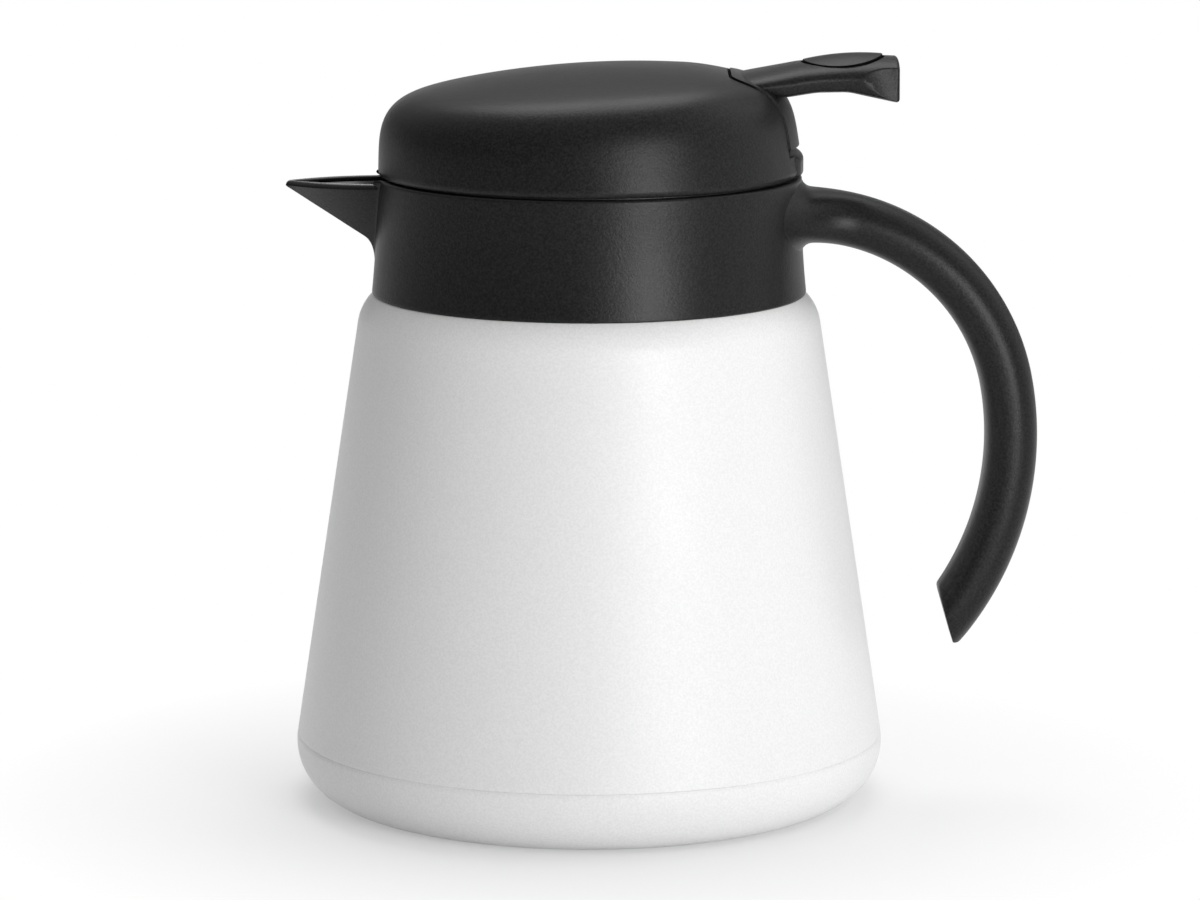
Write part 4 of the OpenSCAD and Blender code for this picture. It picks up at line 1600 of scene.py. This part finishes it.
def dress(nodes: dict[str, bpy.types.Object], finishes: dict[str, Finish]) -> None:
    """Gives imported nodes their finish.

    Args:
        nodes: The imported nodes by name.
        finishes: The finish of each node that is dressed.
    """
    for name, finish in finishes.items():
        slots = nodes[name].data.materials
        slots.clear()
        slots.append(finish.material())
        LOG.info("dressed %s", name)


# Studio


@dataclass
class Studio:
    """Paper sweep, three soft lamps, a graded grey surround and the photograph's camera."""

    eye: tuple[float, float, float] = (0.0, -1.0888, 0.2641)
    pitch: float = 0.1734
    yaw: float = 0.0021
    lens: float = 157.74
    sensor: float = 36.0
    soft_light: tuple[float, float] = (0.10, 0.64)
    floor_half: float = 4.0
    floor_back: float = 2.4
    floor_bend: float = 0.3
    floor_rise: float = 0.5
    shadow_reach: tuple[float, float] = (0.06, 0.13)
    shadow_share: tuple[float, float] = (0.36, 1.0)
    front_reach: tuple[float, float] = (-0.6, -0.25)
    side_reach: tuple[float, float] = (0.17, 0.40)
    side_widen: float = 0.13
    clip: tuple[float, float] = (0.05, 50.0)
    aim_h: float = 0.08

    def camera(self) -> None:
        """Places the camera and aims it along its pitch and yaw."""
        data = bpy.data.cameras.new("camera")
        data.sensor_width = self.sensor
        data.lens = self.lens
        data.clip_start, data.clip_end = self.clip
        camera = placed("camera", data)
        camera.location = self.eye
        flat = math.cos(self.pitch)
        aim = Vector((flat * math.sin(self.yaw), flat * math.cos(self.yaw), -math.sin(self.pitch)))
        camera.rotation_euler = aim.to_track_quat("-Z", "Y").to_euler()
        bpy.context.scene.camera = camera

    def lamp(
        self, name: str, turn: float, reach: float, height: float, size: tuple[float, float], power: float
    ) -> None:
        """Adds a soft lamp that looks at the middle of the jug.

        Args:
            name: Name of the lamp.
            turn: Degrees to the right of the camera, seen from the jug.
            reach: Distance from the jug's axis in metres.
            height: Height of the lamp's middle in metres.
            size: Width and height of the lamp in metres.
            power: Power in watts.
        """
        data = bpy.data.lights.new(name, "AREA")
        data.shape = "RECTANGLE"
        data.size, data.size_y = size
        data.energy = power
        lamp = placed(name, data)
        angle = math.radians(turn)
        lamp.location = (reach * math.sin(angle), -reach * math.cos(angle), height)
        aim = Vector((0.0, 0.0, self.aim_h)) - lamp.location
        lamp.rotation_euler = aim.to_track_quat("-Z", "Y").to_euler()

    def surround(self) -> None:
        """Soft grey from all round, dim at the level of the floor and brighter overhead."""
        world = bpy.data.worlds.new("surround")
        graph = Graph.cleared(world)
        toward = graph.add("ShaderNodeTexCoord").outputs["Generated"]
        height = graph.add("ShaderNodeSeparateXYZ", Vector=toward).outputs["Z"]
        light = graph.add("ShaderNodeBackground", Color=(1.0, 1.0, 1.0, 1.0))
        graph.put(light.inputs["Strength"], graph.spread(height, 0.0, 1.0, *self.soft_light))
        out = graph.add("ShaderNodeOutputWorld")
        graph.put(out.inputs["Surface"], light.outputs[0])
        bpy.context.scene.world = world

    def paper(self) -> bpy.types.Material:
        """White paper that keeps the shadow near the jug.

        To the camera and to reflections it shows as plain white in the strip that the camera sees. It
        turns partly matte close to the jug, and wholly matte far in front and far to the sides.

        Returns:
            The material.
        """
        material = bpy.data.materials.new("paper")
        graph = Graph.cleared(material)
        rays = graph.add("ShaderNodeLightPath")
        seen = graph.maths("ADD", rays.outputs["Is Camera Ray"], rays.outputs["Is Glossy Ray"])
        seen = graph.maths("ADD", seen, rays.outputs["Is Transmission Ray"])
        seen = graph.maths("MINIMUM", seen, 1.0)
        matte = graph.add("ShaderNodeBsdfDiffuse", Color=(0.9, 0.9, 0.9, 1.0))
        glow = graph.add("ShaderNodeEmission", Color=(1.0, 1.0, 1.0, 1.0), Strength=1.0)
        place = graph.add("ShaderNodeTexCoord").outputs["Object"]
        reach = graph.add("ShaderNodeVectorMath", operation="LENGTH")
        graph.put(reach.inputs[0], place)
        far = graph.spread(reach.outputs["Value"], *self.shadow_reach, *self.shadow_share)
        split = graph.add("ShaderNodeSeparateXYZ", Vector=place)
        wider = graph.maths("MULTIPLY", split.outputs["Y"], self.side_widen)
        aside = graph.maths("SUBTRACT", graph.maths("ABSOLUTE", split.outputs["X"], 0.0), wider)
        lit = graph.maths(
            "MULTIPLY",
            graph.spread(split.outputs["Y"], *self.front_reach, 0.0, 1.0),
            graph.spread(aside, *self.side_reach, 1.0, 0.0),
        )
        mix = graph.add("ShaderNodeMixShader")
        graph.put(mix.inputs[0], graph.maths("MULTIPLY", graph.maths("MULTIPLY", seen, far), lit))
        graph.put(mix.inputs[1], matte.outputs[0])
        graph.put(mix.inputs[2], glow.outputs[0])
        out = graph.add("ShaderNodeOutputMaterial")
        graph.put(out.inputs["Surface"], mix.outputs[0])
        return material

    def floor(self) -> None:
        """Paper sweep: a flat floor that curves up behind the jug, as one profile carried across."""
        half = self.floor_half
        bend = self.floor_bend
        curve = arc((self.floor_back, bend), bend, -90.0, 0.0, 16)
        profile = np.concatenate([[[-half, 0.0]], curve, [[self.floor_back + bend, self.floor_rise]]])
        across = np.array([[-half], [half]])
        x, y, z = np.broadcast_arrays(across, profile[:, 0], profile[:, 1])
        sheet = Patch(np.stack([x, y, z], axis=-1))
        mesh = bpy.data.meshes.new("paper")
        mesh.from_pydata(sheet.points.reshape(-1, 3).tolist(), [], sheet.quads().tolist())
        mesh.shade_smooth()
        mesh.materials.append(self.paper())
        placed("paper", mesh)

    def build(self) -> None:
        """Sets camera, lamps, surround and floor."""
        bpy.context.scene.view_settings.view_transform = "Standard"
        self.camera()
        self.lamp("key", turn=31.0, reach=0.78, height=0.14, size=(0.30, 0.26), power=3.05)
        self.lamp("side", turn=100.0, reach=1.3, height=0.7, size=(1.6, 1.5), power=5.0)
        self.lamp("top", turn=180.0, reach=0.5, height=1.2, size=(0.9, 0.9), power=6.5)
        self.surround()
        self.floor()


def main() -> None:
    """Builds the jug's sub-assemblies in order and sets the studio round them."""
    logging.basicConfig(level=logging.INFO, format="%(name)s: %(message)s")
    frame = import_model()
    nodes = frame["nodes"]
    Vessel().build(nodes)
    Collar().build()
    dress(
        nodes,
        {
            "lid_base": GREY_PLASTIC,
            "stopper_gasket": SILICONE,
            "lid_screws": BARE_STEEL,
            "pivot_pin": BARE_STEEL,
            "stem_seal": SILICONE,
            "valve_stem": BARE_STEEL,
            "stem_cap": GREY_PLASTIC,
            "valve_plug": GREY_PLASTIC,
            "valve_gasket": SILICONE,
            "gasket_retainer": GREY_PLASTIC,
        },
    )
    dome = Dome()
    dome.build()
    Lever().build(dome)
    ValveSpring().build()
    Studio().build()


if __name__ == "__main__":
    main()
